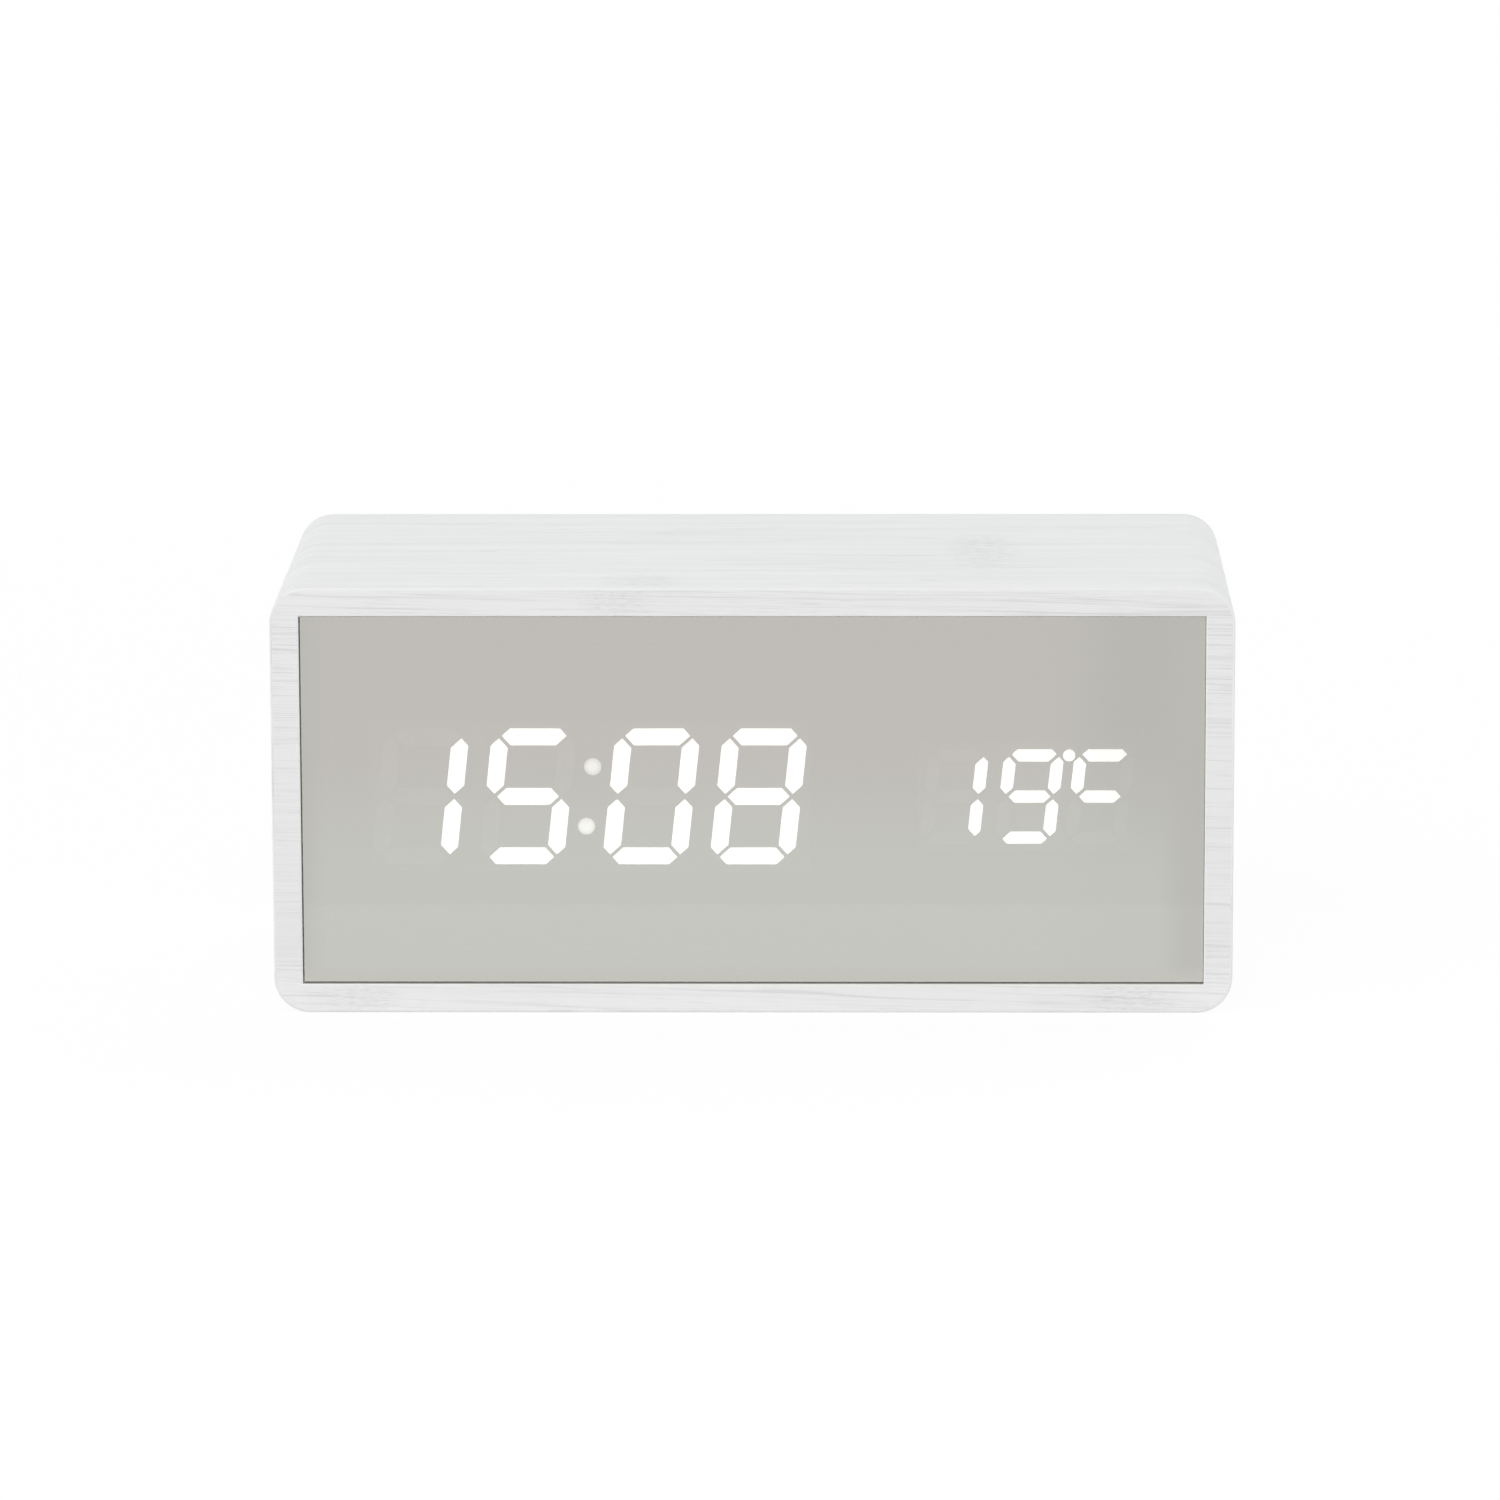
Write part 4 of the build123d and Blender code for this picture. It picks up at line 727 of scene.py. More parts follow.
@dataclass(frozen=True)
class LitResin(Finish):
    """Milky resin with a lamp behind it."""

    glow: Triple
    strength: float
    spots: tuple[Triple, ...] = ()
    spot_radius: float = 1.0
    spot_core: float = 0.45
    spot_steps: Triple = (1.0, 10.0, 1.0)
    rim_shade: float = 0.6
    cloud_size: float = 2.5
    cloud_span: Pair = (0.3, 0.7)
    cloud_shades: Pair = (0.94, 1.0)
    roughness: float = 0.45

    def material(self) -> bpy.types.Material:
        """An even, slightly cloudy glow, dimmer at the rim of round spots.

        Returns:
            The finished material.
        """
        graph = Graph(self.name)
        clouds = graph.between(graph.cloud(self.cloud_size), *self.cloud_span)
        glow = graph.shades(clouds, self.glow, *self.cloud_shades)
        if self.spots:
            away: Value = self.spot_radius
            for spot in self.spots:
                away = graph.maths("MINIMUM", away, graph.length(graph.point(self.spot_steps, spot)))
            rim = graph.between(away, self.spot_core * self.spot_radius, self.spot_radius)
            glow = graph.mix(rim, glow, shade(self.glow, self.rim_shade))
        return graph.surface(
            Base_Color=glow,
            Roughness=self.roughness,
            Emission_Color=glow,
            Emission_Strength=self.strength,
        )


@dataclass(frozen=True)
class Plated(Finish):
    """Plated or drawn metal with fine scratches."""

    colour: Triple
    roughness: float = 0.3
    scratch: Triple = (0.15, 3.0, 0.15)
    scratch_depth: float = 0.008
    blotch_size: float = 4.0
    blotch_span: Pair = (0.35, 0.65)
    blotch_shades: Pair = (1.0, 0.8)

    def material(self) -> bpy.types.Material:
        """Bright metal with scratches along its longest step and duller blotches.

        Returns:
            The finished material.
        """
        graph = Graph(self.name)
        scratches = graph.noise(graph.point(self.scratch), detail=3.0, roughness=0.65)
        dull = graph.between(graph.average(scratches, graph.cloud(self.blotch_size)), *self.blotch_span)
        return graph.surface(
            Base_Color=graph.shades(dull, self.colour, *self.blotch_shades),
            Metallic=1.0,
            Roughness=graph.uneven(scratches, self.roughness),
            Normal=graph.bump(scratches, self.scratch_depth),
        )


@dataclass(frozen=True)
class CircuitBoard(Finish):
    """Glass-fibre board with copper tracks under a green mask."""

    mask: Triple = (0.02, 0.12, 0.055)
    track: Triple = (0.05, 0.22, 0.09)
    track_sizes: tuple[Triple, ...] = ((7.0, 1.0, 3.2), (3.6, 1.0, 5.4))
    track_width: float = 0.05
    track_edge: float = 0.2
    track_height: float = 0.02
    track_turn: Triple = (90.0, 0.0, 0.0)
    weave_size: float = 0.6
    weave_shades: Pair = (0.8, 1.2)
    roughness: float = 0.375
    roughness_spread: float = 0.15

    def material(self) -> bpy.types.Material:
        """Two layers of staggered tracks, slightly raised.

        Returns:
            The finished material.
        """
        graph = Graph(self.name)
        tracks: Value = 0.0
        for sizes in self.track_sizes:
            feeds = {"Scale": 1.0, "Mortar Size": self.track_width, "Mortar Smooth": self.track_edge}
            feeds["Vector"] = graph.point(sizes, turn=self.track_turn)
            bricks = graph.add("ShaderNodeTexBrick", feeds)
            tracks = graph.maths("MAXIMUM", tracks, bricks.outputs["Fac"])
        weave = graph.cloud(self.weave_size)
        mask = graph.shades(weave, self.mask, *self.weave_shades)
        return graph.surface(
            Base_Color=graph.mix(tracks, mask, self.track),
            Roughness=graph.uneven(weave, self.roughness, self.roughness_spread),
            Normal=graph.bump(tracks, self.track_height),
        )


@dataclass(frozen=True)
class CellJacket(Finish):
    """Printed shrink film on cells that lie opposite ways, with a dark band at each nub end."""

    centre: Triple
    pitch: float
    count: int
    band_starts: float
    film: Triple = (0.4, 0.41, 0.42)
    band: Triple = (0.03, 0.055, 0.13)
    line: Triple = (0.72, 0.72, 0.7)
    line_width: float = 0.5
    crease: Triple = (1.2, 4.0, 4.0)
    crease_depth: float = 0.02
    film_shades: Pair = (0.75, 1.3)
    band_shades: Pair = (0.85, 1.1)
    film_metal: float = 0.5
    roughness: float = 0.325
    roughness_spread: float = 0.15

    def material(self) -> bpy.types.Material:
        """A grey film with a blue band, set apart by a pale line.

        Returns:
            The finished material.
        """
        graph = Graph(self.name)
        first = self.centre[2] - self.count * self.pitch / 2
        row = graph.maths("FLOOR", graph.along(Axis.Z, self.pitch, (0, 0, first)))
        # 1 on even rows and -1 on odd ones
        turned = graph.times(graph.maths("MODULO", row, 2.0), -2.0, 1.0)
        reach = graph.times(graph.along(Axis.X, centre=self.centre), turned)
        band = graph.maths("GREATER_THAN", reach, self.band_starts)
        off_line = graph.maths("ABSOLUTE", graph.maths("SUBTRACT", reach, self.band_starts))
        line = graph.maths("LESS_THAN", off_line, self.line_width)
        creases = graph.noise(graph.point(self.crease))
        film = graph.shades(creases, self.film, *self.film_shades)
        blue = graph.shades(creases, self.band, *self.band_shades)
        return graph.surface(
            Base_Color=graph.mix(line, graph.mix(band, film, blue), self.line),
            Metallic=graph.times(band, -self.film_metal, self.film_metal),
            Roughness=graph.uneven(creases, self.roughness, self.roughness_spread),
            Normal=graph.bump(creases, self.crease_depth),
        )


@dataclass(frozen=True)
class FlatCable(Finish):
    """Flat cable: conductors side by side, with one marked edge."""

    centre: Triple
    half_width: float
    pitch: float = 1.0
    web: Triple = (0.36, 0.36, 0.37)
    core: Triple = (0.52, 0.52, 0.53)
    edge: Triple = (0.5, 0.03, 0.02)
    core_span: Pair = (0.1, 0.4)
    core_height: float = 0.08
    scuff_size: float = 3.0
    roughness: float = 0.4

    def material(self) -> bpy.types.Material:
        """Rounded conductors across the width, the first one red.

        Returns:
            The finished material.
        """
        graph = Graph(self.name)
        across = graph.along(Axis.X, self.pitch, self.centre)
        core = graph.between(graph.maths("PINGPONG", across, 0.5), *self.core_span)
        marked = graph.maths("LESS_THAN", across, 1 - self.half_width / self.pitch)
        return graph.surface(
            Base_Color=graph.mix(marked, graph.mix(core, self.web, self.core), self.edge),
            Roughness=graph.uneven(graph.cloud(self.scuff_size), self.roughness),
            Normal=graph.bump(core, self.core_height),
        )


@dataclass(frozen=True)
class Flecked(Finish):
    """Foam, film, resin or epoxy: a body colour with fine flecks."""

    colour: Triple
    fleck: Triple
    size: float
    roughness: float
    depth: float = 0.02
    grain_span: Pair = (0.2, 0.6)

    def material(self) -> bpy.types.Material:
        """Scattered grains in a plain body.

        Returns:
            The finished material.
        """
        graph = Graph(self.name)
        grains = graph.grains(self.size)
        return graph.surface(
            Base_Color=graph.mix(graph.between(grains, *self.grain_span), self.fleck, self.colour),
            Roughness=self.roughness,
            Normal=graph.bump(grains, self.depth),
        )


# Pieces


def dress(finish: Finish, *nodes: str) -> None:
    """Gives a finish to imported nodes.

    Args:
        finish: what the nodes are finished with.
        nodes: the names of the nodes.
    """
    material = finish.material()
    for node in nodes:
        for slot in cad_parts[node].material_slots:
            slot.material = material
        LOG.info("dressed %s with %s", node, finish.name)


class Shape:
    """A mesh in the making, in millimetres of the shared frame. Its angles are in radians."""

    bevel_steps: int = 2
    sharp_angle: float = 0.5
    smooth_angle: float = math.radians(40)
    same_normal: float = 0.9999
    merge_distance: float = 1e-4

    def __init__(self) -> None:
        """Starts with nothing."""
        self.mesh = bmesh.new()

    def block(self, low: Triple, high: Triple) -> None:
        """Adds a block between two corners.

        Args:
            low: its lowest corner.
            high: its highest corner.
        """
        size = Vector(high) - Vector(low)
        middle = (Vector(high) + Vector(low)) / 2
        place = Matrix.Translation(middle) @ Matrix.Diagonal((*size, 1.0))
        bmesh.ops.create_cube(self.mesh, size=1.0, matrix=place)

    def bar(self, centre: Pair, half: Pair, depths: Pair) -> None:
        """Adds a block about a middle.

        Args:
            centre: its middle in X and Z.
            half: half its size in X and Z.
            depths: where it starts and ends along Y.
        """
        (x, z), (half_x, half_z), (start, end) = centre, half, depths
        self.block((x - half_x, start, z - half_z), (x + half_x, end, z + half_z))

    def ring(self, centre: Pair, radii: Pair, depths: Pair, round_off: float, steps: int = 64) -> None:
        """Adds a ring about an axis along Y, with its outer end rounded off.

        Args:
            centre: the axis's place in X and Z.
            radii: the inner and the outer radius.
            depths: where the ring starts and ends along Y.
            round_off: the size of the rounding at its end.
            steps: how many steps go round.
        """
        (x, z), (inner, outer), (start, end) = centre, radii, depths
        profile = [
            (inner, start), (outer, start), (outer, end - round_off), (outer - round_off, end),
            (inner + round_off, end), (inner, end - round_off),
        ]
        verts = [self.mesh.verts.new((x + radius, depth, z)) for radius, depth in profile]
        edges = [self.mesh.edges.new((verts[i - 1], verts[i])) for i in range(len(verts))]
        before = set(self.mesh.faces)
        bmesh.ops.spin(
            self.mesh, geom=verts + edges, cent=(x, 0, z), axis=(0, 1, 0), dvec=(0, 0, 0),
            angle=2 * math.pi, steps=steps, use_merge=True, use_duplicate=False,
        )
        for face in set(self.mesh.faces) - before:
            face.smooth = True

    def prism(self, centre: Pair, radius: float, corners: int, depths: Pair) -> None:
        """Adds an upright plate with equal sides, such as a triangle or a round disc.

        Args:
            centre: its place in X and Z.
            radius: from its middle to its corners.
            corners: how many corners it has.
            depths: where it starts and ends along Y.
        """
        (x, z), (start, end) = centre, depths
        place = Matrix.Translation((x, start, z)) @ Matrix.Rotation(math.pi / 2, 4, "X")
        made = bmesh.ops.create_circle(
            self.mesh, cap_ends=True, radius=radius, segments=corners, matrix=place
        )
        faces = list({face for vert in made["verts"] for face in vert.link_faces})
        pulled = bmesh.ops.extrude_face_region(self.mesh, geom=faces, use_keep_orig=True)
        verts = [item for item in pulled["geom"] if isinstance(item, bmesh.types.BMVert)]
        bmesh.ops.translate(self.mesh, verts=verts, vec=(0, end - start, 0))

    def soften(self, width: float) -> None:
        """Rounds every edge between faces that meet at an angle.

        Args:
            width: how far the rounding reaches.
        """
        bmesh.ops.recalc_face_normals(self.mesh, faces=self.mesh.faces)
        closed = [edge for edge in self.mesh.edges if edge.is_manifold]
        sharp = [edge for edge in closed if edge.calc_face_angle() > self.sharp_angle]
        flat = [face.normal.copy() for face in self.mesh.faces]
        bmesh.ops.bevel(
            self.mesh, geom=sharp, offset=width, offset_type="OFFSET", affect="EDGES",
            segments=self.bevel_steps, profile=0.5, material=-1, clamp_overlap=True,
        )
        self.mesh.normal_update()
        for face in self.mesh.faces:
            face.smooth = max(face.normal.dot(normal) for normal in flat) < self.same_normal

    def piece(self, name: str, body: Body, slot: Slot, *finishes: Finish) -> bpy.types.Object:
        """Turns the shape into a piece of the clock.

        Args:
            name: the piece's name.
            body: the body that it rides on.
            slot: the record's slot for the piece; not used.
            finishes: its finishes, in the order of the faces' numbers.

        Returns:
            The new object.
        """
        bmesh.ops.remove_doubles(self.mesh, verts=self.mesh.verts, dist=self.merge_distance)
        bmesh.ops.recalc_face_normals(self.mesh, faces=self.mesh.faces)
        for edge in self.mesh.edges:
            edge.smooth = edge.is_manifold and edge.calc_face_angle() < self.smooth_angle
        bmesh.ops.scale(self.mesh, vec=(MM, MM, MM), verts=self.mesh.verts)
        data = bpy.data.meshes.new(name)
        self.mesh.to_mesh(data)
        self.mesh.free()
        for finish in finishes:
            data.materials.append(finish.material())
        made = bpy.data.objects.new(name, data)
        bpy.context.scene.collection.objects.link(made)
        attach(made, body.value)
        LOG.info("built %s on %s, %d faces", name, body.value, len(data.polygons))
        return made


# Sub-assemblies


@dataclass
class Casing:
    """The veneered sleeve: boards, wrap, rims and the blocks in its corners."""

    wrap: WashedVeneer = WashedVeneer(
        "wrap_grain",
        across=Axis.Y,
        tone=(0.839, 0.851, 0.844),
        edge=PaintedEdgeHighlight(starts=REAR - 0.2, ends=REAR - 0.1, height=TOP - 0.5, tone=(0.822, 0.82, 0.82)),
        knots=(
            Patch((36.2, -1.0, TOP), (8.0, 26.0, 30.0)),
            Patch((-17.5, -29.0, TOP), (9.0, 10.0, 30.0)),
            Patch((RIGHT, -12.0, 30.0), (30.0, 12.0, 8.0)),
            Patch((LEFT, 14.0, 44.0), (30.0, 14.0, 8.0)),
        ),
        fibre_length=0.8,
        line_scale=1.0,
        stray=4.0,
        line_width=0.11,
        dash=Stroke(2.0, 0.5, 0.44, 0.66, fixed=True),
        clumped=0.8,
        band=(80.0, 4.0),
        band_weight=0.5,
    )
    rim: WashedVeneer = WashedVeneer(
        "rim_grain",
        across=Axis.Z,
        tone=(0.815, 0.8155, 0.8155),
        edge=PaintedEdgeHighlight(starts=REAR - 0.015, ends=REAR - 0.1, height=0.0, tone=(0.96, 0.945, 0.91)),
        # Paler near the base, as painted bounce light from the floor
        base_bounce_light=1.066,
        slope=0.022,
    )
    front_knots: tuple[Patch, ...] = (
        Patch((-21.5, FRONT, 65.5), (8.0, 30.0, 4.5)),
        Patch((59.0, FRONT, 2.2), (10.0, 30.0, 3.6)),
        Patch((-62.0, FRONT, 2.4), (10.0, 30.0, 3.4)),
    )
    front_streaks: tuple[Patch, ...] = (
        Patch((-58.0, FRONT, 66.0), (16.0, 30.0, 6.0)),
        Patch((2.0, FRONT, 65.0), (26.0, 30.0, 6.0)),
        Patch((56.0, FRONT, 65.0), (24.0, 30.0, 8.0)),
        Patch((60.0, FRONT, 2.0), (18.0, 30.0, 6.0)),
        Patch((-64.0, FRONT, 4.0), (16.0, 30.0, 12.0)),
        Patch((-73.0, FRONT, 51.0), (9.0, 30.0, 17.0)),
        Patch((73.0, FRONT, 54.0), (9.0, 30.0, 16.0)),
        # The patch at the bottom right corner adds lines that make that corner darker
        Patch((69.0, FRONT, 3.0), (9.0, 30.0, 8.0)),
    )
    rear_knots: tuple[Patch, ...] = (
        Patch((31.0, REAR, 65.5), (9.0, 30.0, 3.6)),
        Patch((-44.0, REAR, 2.2), (8.0, 30.0, 3.0)),
    )
    rear_streaks: tuple[Patch, ...] = (
        Patch((-40.0, REAR, 65.0), (24.0, 30.0, 6.0)),
        Patch((48.0, REAR, 3.0), (22.0, 30.0, 6.0)),
    )

    def dress(self) -> None:
        """Finishes the veneers with their own grain, and the wood that they hide."""
        dress(self.wrap, "wrap_veneer")
        front = replace(self.rim, name="front_grain", knots=self.front_knots, streaked=self.front_streaks)
        dress(front, "front_rim_veneer")
        rear = replace(self.rim, name="rear_grain", knots=self.rear_knots, streaked=self.rear_streaks)
        dress(rear, "rear_rim_veneer")
        dress(PrimedBoard("primed_board"), "top_board", "bottom_board", "left_board", "right_board")
        dress(SawnWood("sawn_block"), "corner_blocks")


@dataclass
class FrontPanel:
    """The half-silvered sheet, what bonds it and what darkens the space behind it."""

    edge_width: float = 0.06

    def build(self) -> None:
        """Makes the sheet, coated on its front and clear on its back."""
        low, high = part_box("mirror_panel")
        shape = Shape()
        shape.block(tuple(low / MM), tuple(high / MM))
        shape.soften(self.edge_width)
        back = high.y / MM
        for face in shape.mesh.faces:
            face.material_index = int(face.calc_center_median().y > back - self.edge_width)
        coat = HalfMirror("half_mirror", middle_mm("mirror_panel"), reach_mm("mirror_panel"))
        back_face = ClearAcrylic("clear_back")
        sheet = shape.piece("mirror_sheet", Body.CLOCK, Slot.MIRROR, coat, back_face)
        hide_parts("mirror_panel")

    def dress(self) -> None:
        """Finishes the tape, the mask, the tray and its screws."""
        dress(Flecked("foam_tape", grey(0.02), grey(0.035), size=0.3, roughness=0.9), "panel_tape")
        film = Flecked("mask_film", (0.012, 0.012, 0.013), (0.016, 0.016, 0.017), size=0.8, roughness=0.7)
        dress(film, "display_mask")
        dress(Moulded("chassis_black", (0.015, 0.015, 0.016), roughness=0.6, pore=0.5), "chassis")
        dress(Plated("panel_screw_zinc", ZINC), "chassis_screws")


@dataclass
class Displays:
    """The two digit modules and their board."""

    digit_glow: float = 0.9
    colon_glow: float = 0.52
    dot_radius: float = 1.36

    def dress(self) -> None:
        """Lights the lit segments and darkens the rest."""
        lit = LitResin("lit_resin", WHITE, self.digit_glow)
        dress(lit, "time_segments_lit", "temperature_segments_lit", "degree_dot")
        low, high = (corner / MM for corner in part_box("colon_dots"))
        inset = Vector((self.dot_radius, 0, self.dot_radius))
        dots = (tuple(low + inset), tuple(high - inset))
        dress(LitResin("colon_resin", WHITE, self.colon_glow, dots, self.dot_radius), "colon_dots")
        smoked = Flecked("unlit_resin", grey(0.072), grey(0.085), size=0.6, roughness=0.5)
        dress(smoked, "time_segments_unlit", "temperature_segments_unlit")
        reflector = Moulded("reflector_black", (0.02, 0.02, 0.021), roughness=0.55, pore=0.3)
        dress(reflector, "time_display_housing", "temperature_display_housing")
        dress(CircuitBoard("display_circuit"), "display_board")
        dress(Plated("display_screw_zinc", ZINC), "display_screws")
        phosphor = Flecked("led_phosphor", (0.85, 0.84, 0.78), (0.9, 0.78, 0.25), size=0.7, roughness=0.4)
        dress(phosphor, "led_chips")
        dress(Moulded("driver_black", BLACK_PACKAGE, roughness=0.45, pore=0.25), "display_driver")


@dataclass
class RearCover:
    """The cover with its screws, the battery door and the moulded details on both."""

    hole_radius: float = 3.75
    socket_hole_radius: float = 3.85
    collar_width: float = 0.9
    collar_height: float = 0.4
    collar_round: float = 0.25
    mark_height: float = 0.25
    mark_round: float = 0.06
    mark_stroke: float = 0.55
    mark_reach: float = 1.5
    signs_apart: float = 5.2
    signs_drop: float = 8.2
    ring_radius: float = 1.35
    ring_round: float = 0.05
    ring_steps: int = 48
    dot_radius: float = 0.6
    dot_corners: int = 24
    wire_starts: float = 2.05
    wire_gap: float = 0.35
    diagram_rows: int = 4
    diagram_pitch: float = 7.6
    diagram_half_length: float = 17.0
    diagram_half_height: float = 2.7
    diagram_nub: float = 1.0
    door_thickness: float = 2.2
    hinge_room: float = 3.0
    tongue_length: float = 9.0
    arrow_drop: float = 12.5
    arrow_radius: float = 2.2
    arrow_corners: int = 3
    plastic: Moulded = Moulded("cover_plastic", (0.03, 0.03, 0.032), roughness=0.52, pore=0.32, depth=0.02)
    # The marks' lighter colour is a painted sheen; their lower roughness is a real gloss
    polished_painted_sheen: Moulded = Moulded("mark_plastic", (0.1, 0.1, 0.104), roughness=0.36, pore=0.3, depth=0.008)
    door_tone: Triple = (0.034, 0.034, 0.036)

    def sign(self, shape: Shape, centre: Pair, depths: Pair, plus: bool) -> None:
        """Adds a minus sign, or a plus sign, as raised bars.

        Args:
            shape: the shape that gets it.
            centre: its middle in X and Z.
            depths: where it starts and ends along Y.
            plus: whether it has the upright bar.
        """
        x, z = centre
        stroke = self.mark_stroke / 2
        arm = (self.mark_reach - stroke) / 2
        shape.bar(centre, (self.mark_reach, stroke), depths)
        if plus:
            for side in (1, -1):
                shape.bar((x, z + side * (stroke + arm)), (stroke, arm), depths)

    def build_collars(self) -> None:
        """Raises a rounded collar round each button hole and round the socket's hole."""
        shape = Shape()
        face = rear_mm("rear_cover")
        holes = {f"{button}_button": self.hole_radius for button in BUTTONS}
        holes["power_socket_pin"] = self.socket_hole_radius
        for node, radius in holes.items():
            x, _, z = middle_mm(node)
            radii = (radius, radius + self.collar_width)
            shape.ring((x, z), radii, (face, face + self.collar_height), self.collar_round)
        shape.piece("cover_collars", Body.CLOCK, Slot.COVER, self.plastic)

    def build_socket_signs(self) -> None:
        """Raises the usual polarity signs beside the socket: minus, ring and dot, plus."""
        face = rear_mm("rear_cover")
        depths = (face, face + self.mark_height)
        x, _, z = middle_mm("power_socket_pin")
        level = z - self.signs_drop
        shape = Shape()
        self.sign(shape, (x + self.signs_apart, level), depths, False)
        self.sign(shape, (x - self.signs_apart, level), depths, True)
        radii = (self.ring_radius, self.ring_radius + self.mark_stroke)
        shape.ring((x, level), radii, depths, self.ring_round, self.ring_steps)
        shape.prism((x, level), self.dot_radius, self.dot_corners, depths)
        wire_ends = self.signs_apart - self.mark_reach - self.wire_gap
        half = ((wire_ends - self.wire_starts) / 2, self.mark_stroke / 4)
        for side in (-1, 1):
            shape.bar((x + side * (self.wire_starts + wire_ends) / 2, level), half, depths)
        shape.soften(self.mark_round)
        shape.piece("socket_signs", Body.CLOCK, Slot.COVER, self.polished_painted_sheen)

    def build_door_diagram(self) -> None:
        """Raises the outline of each cell, with its signs, inside the door."""
        x = middle_mm("battery_door")[0]
        bottom, top = (corner.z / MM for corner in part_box("battery_door"))
        middle = (bottom + self.hinge_room + top - self.tongue_length) / 2
        inner = rear_mm("rear_cover") - self.door_thickness
        depths = (inner - self.mark_height, inner)
        length, height, nub = self.diagram_half_length, self.diagram_half_height, self.diagram_nub / 2
        stroke = self.mark_stroke / 4
        shape = Shape()
        for row in range(self.diagram_rows):
            z = middle + (row - (self.diagram_rows - 1) / 2) * self.diagram_pitch
            nub_side = 1 if row % 2 == 0 else -1
            for side in (-1, 1):
                shape.bar((x, z + side * height), (length, stroke), depths)
                shape.bar((x + side * length, z), (stroke, height - stroke), depths)
                place = x + side * (length - 2 * self.mark_reach)
                self.sign(shape, (place, z), depths, side == nub_side)
            shape.bar((x + nub_side * (length + stroke + nub), z), (nub, height / 3), depths)
        shape.soften(self.mark_round)
        shape.piece("door_diagram", Body.DOOR, Slot.COVER, self.polished_painted_sheen)

    def build_door_arrow(self) -> None:
        """Raises an arrow on the outside of the door, under its tongue."""
        face = rear_mm("rear_cover")
        place = (middle_mm("battery_door")[0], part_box("battery_door")[1].z / MM - self.arrow_drop)
        shape = Shape()
        shape.prism(place, self.arrow_radius, self.arrow_corners, (face, face + self.mark_height))
        shape.soften(self.mark_round)
        shape.piece("door_arrow", Body.DOOR, Slot.COVER, self.polished_painted_sheen)

    def build(self) -> None:
        """Makes the raised details."""
        self.build_collars()
        self.build_socket_signs()
        self.build_door_diagram()
        self.build_door_arrow()

    def dress(self) -> None:
        """Finishes the cover, the door and the screws."""
        dress(self.plastic, "rear_cover")
        door = replace(self.plastic, name="door_plastic", colour=self.door_tone, roughness=0.5)
        dress(door, "battery_door")
        dress(Plated("cover_screw_zinc", (0.66, 0.66, 0.67), scratch=(0.12, 2.0, 0.12)), "rear_cover_screws")


@dataclass
class Buttons:
    """The three buttons and the plungers that they push."""

    satin: PrintedButton = PrintedButton(
        "button_satin", (0.055, 0.055, 0.058), roughness=0.38, pore=0.2, depth=0.008
    )
    plunger: Moulded = Moulded("plunger_grey", grey(0.05), roughness=0.4)

    def dress(self) -> None:
        """Finishes the caps and the plungers."""
        dress(self.satin, *(f"{button}_button" for button in BUTTONS))
        dress(self.plunger, *(f"{button}_switch_plunger" for button in BUTTONS))


@dataclass
class BatteryPack:
    """Four cells, their contacts and the two leads to the main board."""

    cell_count: int = 4
    cell_pitch: float = 11.0
    band_starts: float = 11.0

    def dress(self) -> None:
        """Finishes the cells, contacts and leads."""
        can = Plated("cell_can", (0.7, 0.7, 0.69), roughness=0.25, scratch=(3.0, 0.2, 0.2))
        dress(can, "battery_cells")
        centre = middle_mm("battery_cell_jackets")
        jacket = CellJacket("cell_jacket", centre, self.cell_pitch, self.cell_count, self.band_starts)
        dress(jacket, "battery_cell_jackets")
        plate = Plated("contact_nickel", NICKEL, roughness=0.25, scratch=(0.2, 0.2, 2.0))
        dress(plate, "battery_contact_plates")
        dress(Plated("spring_nickel", NICKEL, roughness=0.2, scratch=(0.3, 0.3, 0.3)), "battery_springs")
        dress(Moulded("red_wire", (0.5, 0.02, 0.02), roughness=0.35), "red_lead")
        dress(Moulded("black_wire", grey(0.02), roughness=0.35), "black_lead")


@dataclass
class Electronics:
    """The main board with its parts, and the flat cable to the display board."""

    def dress(self) -> None:
        """Finishes the board and each part on it."""
        dress(CircuitBoard("main_circuit"), "main_board")
        dress(Plated("board_screw_zinc", ZINC), "main_board_screws")
        dress(Moulded("chip_black", BLACK_PACKAGE, roughness=0.45, pore=0.25), "microcontroller")
        dress(Moulded("switch_black", BLACK_PACKAGE), "tact_switches")
        dress(Moulded("buzzer_black", BLACK_PACKAGE, roughness=0.4), "buzzer")
        dress(Moulded("holder_black", grey(0.03)), "coin_cell_holder")
        can = Plated("can_metal", grey(0.7), roughness=0.25, scratch=(0.2, 2.0, 0.2))
        dress(can, "crystal", "capacitors", "coin_cell")
        bead = Flecked("bead_epoxy", (0.03, 0.03, 0.05), (0.05, 0.05, 0.08), size=0.5, roughness=0.25)
        dress(bead, "thermistor")
        dress(Moulded("socket_black", grey(0.015), roughness=0.4, pore=0.25), "power_socket")
        dress(Plated("pin_brass", (0.78, 0.66, 0.36), roughness=0.2), "power_socket_pin")
        dress(Moulded("plug_nylon", (0.8, 0.79, 0.74), roughness=0.4), "ribbon_sockets")
        cable = FlatCable("ribbon_grey", middle_mm("ribbon_cable"), reach_mm("ribbon_cable")[0])
        dress(cable, "ribbon_cable")


# Studio


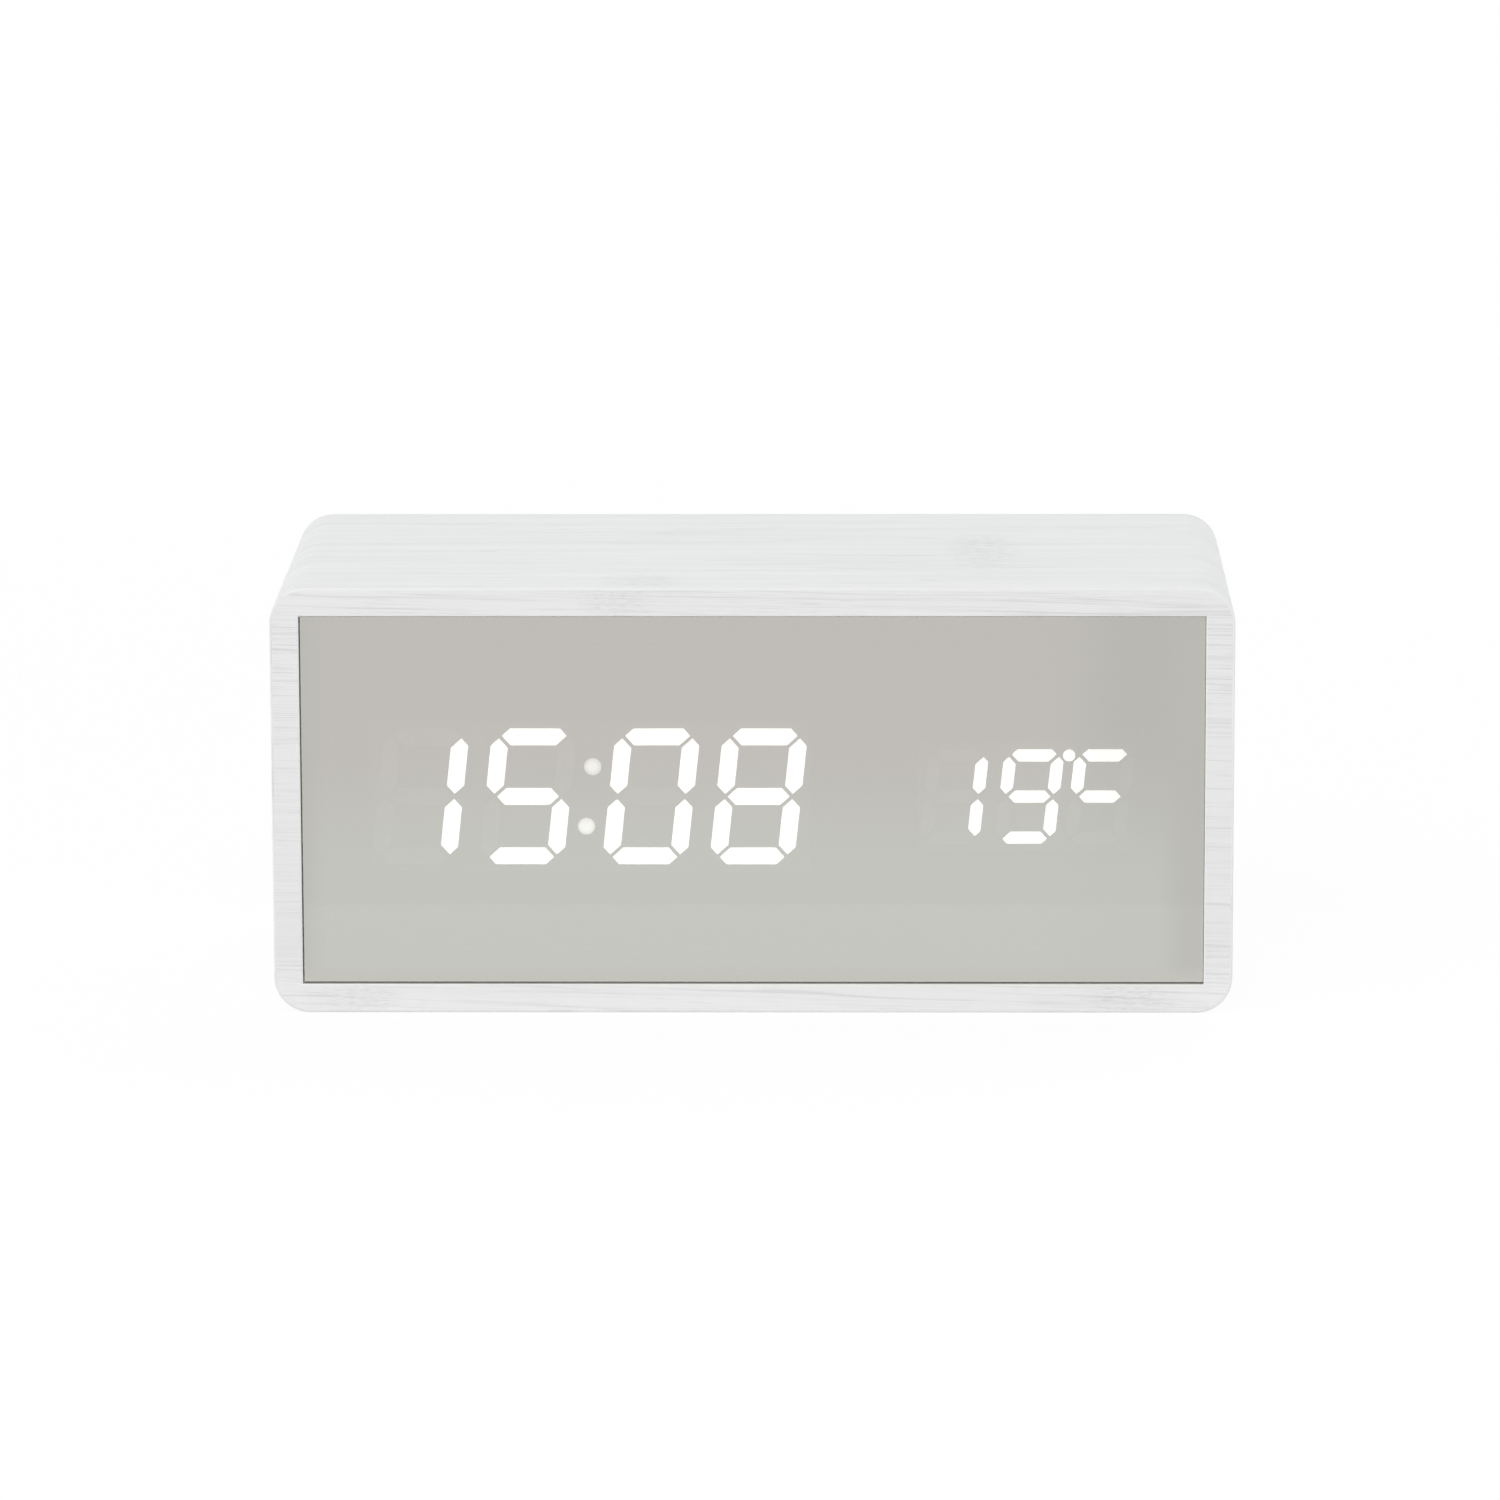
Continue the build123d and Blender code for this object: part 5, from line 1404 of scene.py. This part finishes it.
@dataclass(frozen=True)
class Lamp:
    """A square soft lamp, with its place and side in millimetres and its power in watts."""

    name: str
    place: Triple
    side: float
    power: float

    def hang(self, aim: Triple) -> None:
        """Hangs the lamp, hidden from the camera and from mirrors.

        Args:
            aim: the point that it faces.
        """
        data = bpy.data.lights.new(self.name, "AREA")
        data.size = self.side * MM
        data.energy = self.power
        lamp = bpy.data.objects.new(self.name, data)
        lamp.location = Vector(self.place) * MM
        lamp.rotation_euler = (Vector(aim) - Vector(self.place)).to_track_quat("-Z", "Y").to_euler()
        lamp.visible_camera = False
        lamp.visible_glossy = False
        bpy.context.scene.collection.objects.link(lamp)


@dataclass
class Studio:
    """A white floor, a white room and soft lamps.

    Lengths are in millimetres, and a fade goes from where something starts to where it is full.
    """

    floor_half: float = 6000.0
    floor_drop: float = 0.05
    floor_albedo: Triple = grey(0.98)
    floor_glow: float = 0.93
    glow_fade: Pair = (175.0, 700.0)
    sheet_fade: Pair = (-113.0, -116.0)
    sheet_tone: Triple = (0.967, 0.966, 0.965)
    room_fade: Pair = (-128.0, -254.0)
    room_tone: Triple = (0.925, 0.883, 0.89)
    room_light: float = 0.575
    lamp_aim: Triple = (0.0, 0.0, 30.0)
    lamps: tuple[Lamp, ...] = (
        Lamp("key", (-350.0, -750.0, 1050.0), 900.0, 5.1),
        Lamp("fill", (600.0, 750.0, 950.0), 900.0, 3.0),
        Lamp("low", (0.0, -1200.0, 200.0), 800.0, 0.85),
        Lamp("left", (-1100.0, -250.0, 450.0), 800.0, 2.75),
        Lamp("right", (1100.0, -250.0, 450.0), 800.0, 1.9),
    )

    def seen_rays(self, graph: Graph) -> Socket:
        """Finds the rays that show the background: straight from the camera, mirrored or passed through.

        Args:
            graph: the graph to add to.

        Returns:
            1 for such a ray and 0 for any other.
        """
        path = graph.add("ShaderNodeLightPath", {}).outputs
        mirrored = graph.maths("MAXIMUM", path["Is Glossy Ray"], path["Is Transmission Ray"])
        return graph.maths("MAXIMUM", path["Is Camera Ray"], mirrored)

    def floor_material(self) -> bpy.types.Material:
        """White to the camera with a faint shadow, and a slightly warmer room in mirrors.

        Returns:
            The finished material.
        """
        graph = Graph("studio_floor")
        path = graph.add("ShaderNodeLightPath", {}).outputs
        ahead = graph.along(Axis.Y)
        near = graph.mix(graph.between(ahead, *self.sheet_fade), WHITE, self.sheet_tone)
        far = graph.mix(graph.between(ahead, *self.room_fade), near, self.room_tone)
        tone = graph.mix(path["Is Glossy Ray"], WHITE, far)
        glow = graph.add("ShaderNodeEmission", {"Color": tone, "Strength": 1.0})
        paint = graph.add("ShaderNodeBsdfDiffuse", {"Color": self.floor_albedo})
        away = graph.between(graph.length(graph.point((1, 1, 1))), *self.glow_fade)
        level = graph.times(away, 1 - self.floor_glow, self.floor_glow)
        share = graph.times(self.seen_rays(graph), level)
        both = graph.add("ShaderNodeMixShader", {0: share, 1: paint.outputs[0], 2: glow.outputs[0]})
        graph.add("ShaderNodeOutputMaterial", {"Surface": both.outputs[0]})
        return graph.owner

    def build_floor(self) -> None:
        """Lays the floor just under the base."""
        shape = bmesh.new()
        place = Matrix.Translation((0, 0, -self.floor_drop * MM))
        bmesh.ops.create_grid(shape, x_segments=1, y_segments=1, size=self.floor_half * MM, matrix=place)
        data = bpy.data.meshes.new("floor")
        shape.to_mesh(data)
        shape.free()
        data.materials.append(self.floor_material())
        floor = bpy.data.objects.new("floor", data)
        bpy.context.scene.collection.objects.link(floor)

    def build_room(self) -> None:
        """White surroundings that light the clock at a plain level."""
        graph = Graph("room", of_world=True)
        level = graph.times(self.seen_rays(graph), 1 - self.room_light, self.room_light)
        room = graph.add("ShaderNodeBackground", {"Color": WHITE, "Strength": level})
        graph.add("ShaderNodeOutputWorld", {"Surface": room.outputs[0]})
        bpy.context.scene.world = graph.owner

    def build(self) -> None:
        """Sets up the floor, the room, the lamps and how colours are shown."""
        self.build_floor()
        self.build_room()
        for lamp in self.lamps:
            lamp.hang(self.lamp_aim)
        bpy.context.scene.view_settings.view_transform = "Standard"


@dataclass
class Camera:
    """The photograph's view: a long lens, a little above the clock and nearly straight on.

    Lengths are in millimetres and angles in degrees.
    """

    place: Triple = (19.05, -1282.76, 287.27)
    yaw: float = -0.891
    pitch: float = 11.123
    roll: float = -0.16
    field: float = 10.489
    nearest: float = 10.0
    farthest: float = 100000.0

    def build(self) -> None:
        """Makes the camera and looks through it."""
        data = bpy.data.cameras.new("photo_camera")
        data.lens = data.sensor_width / 2 / math.tan(math.radians(self.field) / 2)
        data.clip_start = self.nearest * MM
        data.clip_end = self.farthest * MM
        camera = bpy.data.objects.new("photo_camera", data)
        camera.location = Vector(self.place) * MM
        aim = Euler((math.radians(90 - self.pitch), 0, -math.radians(self.yaw))).to_quaternion()
        camera.rotation_mode = "QUATERNION"
        camera.rotation_quaternion = aim @ Quaternion((0, 0, 1), math.radians(self.roll))
        bpy.context.scene.collection.objects.link(camera)
        bpy.context.scene.camera = camera


def main() -> None:
    """Builds and dresses the clock, then the studio round it."""
    logging.basicConfig(level=logging.INFO, format="%(message)s")
    Camera().build()
    Casing().dress()
    panel = FrontPanel()
    panel.build()
    panel.dress()
    Displays().dress()
    cover = RearCover()
    cover.build()
    cover.dress()
    Buttons().dress()
    BatteryPack().dress()
    Electronics().dress()
    Studio().build()


if __name__ == "__main__":
    main()
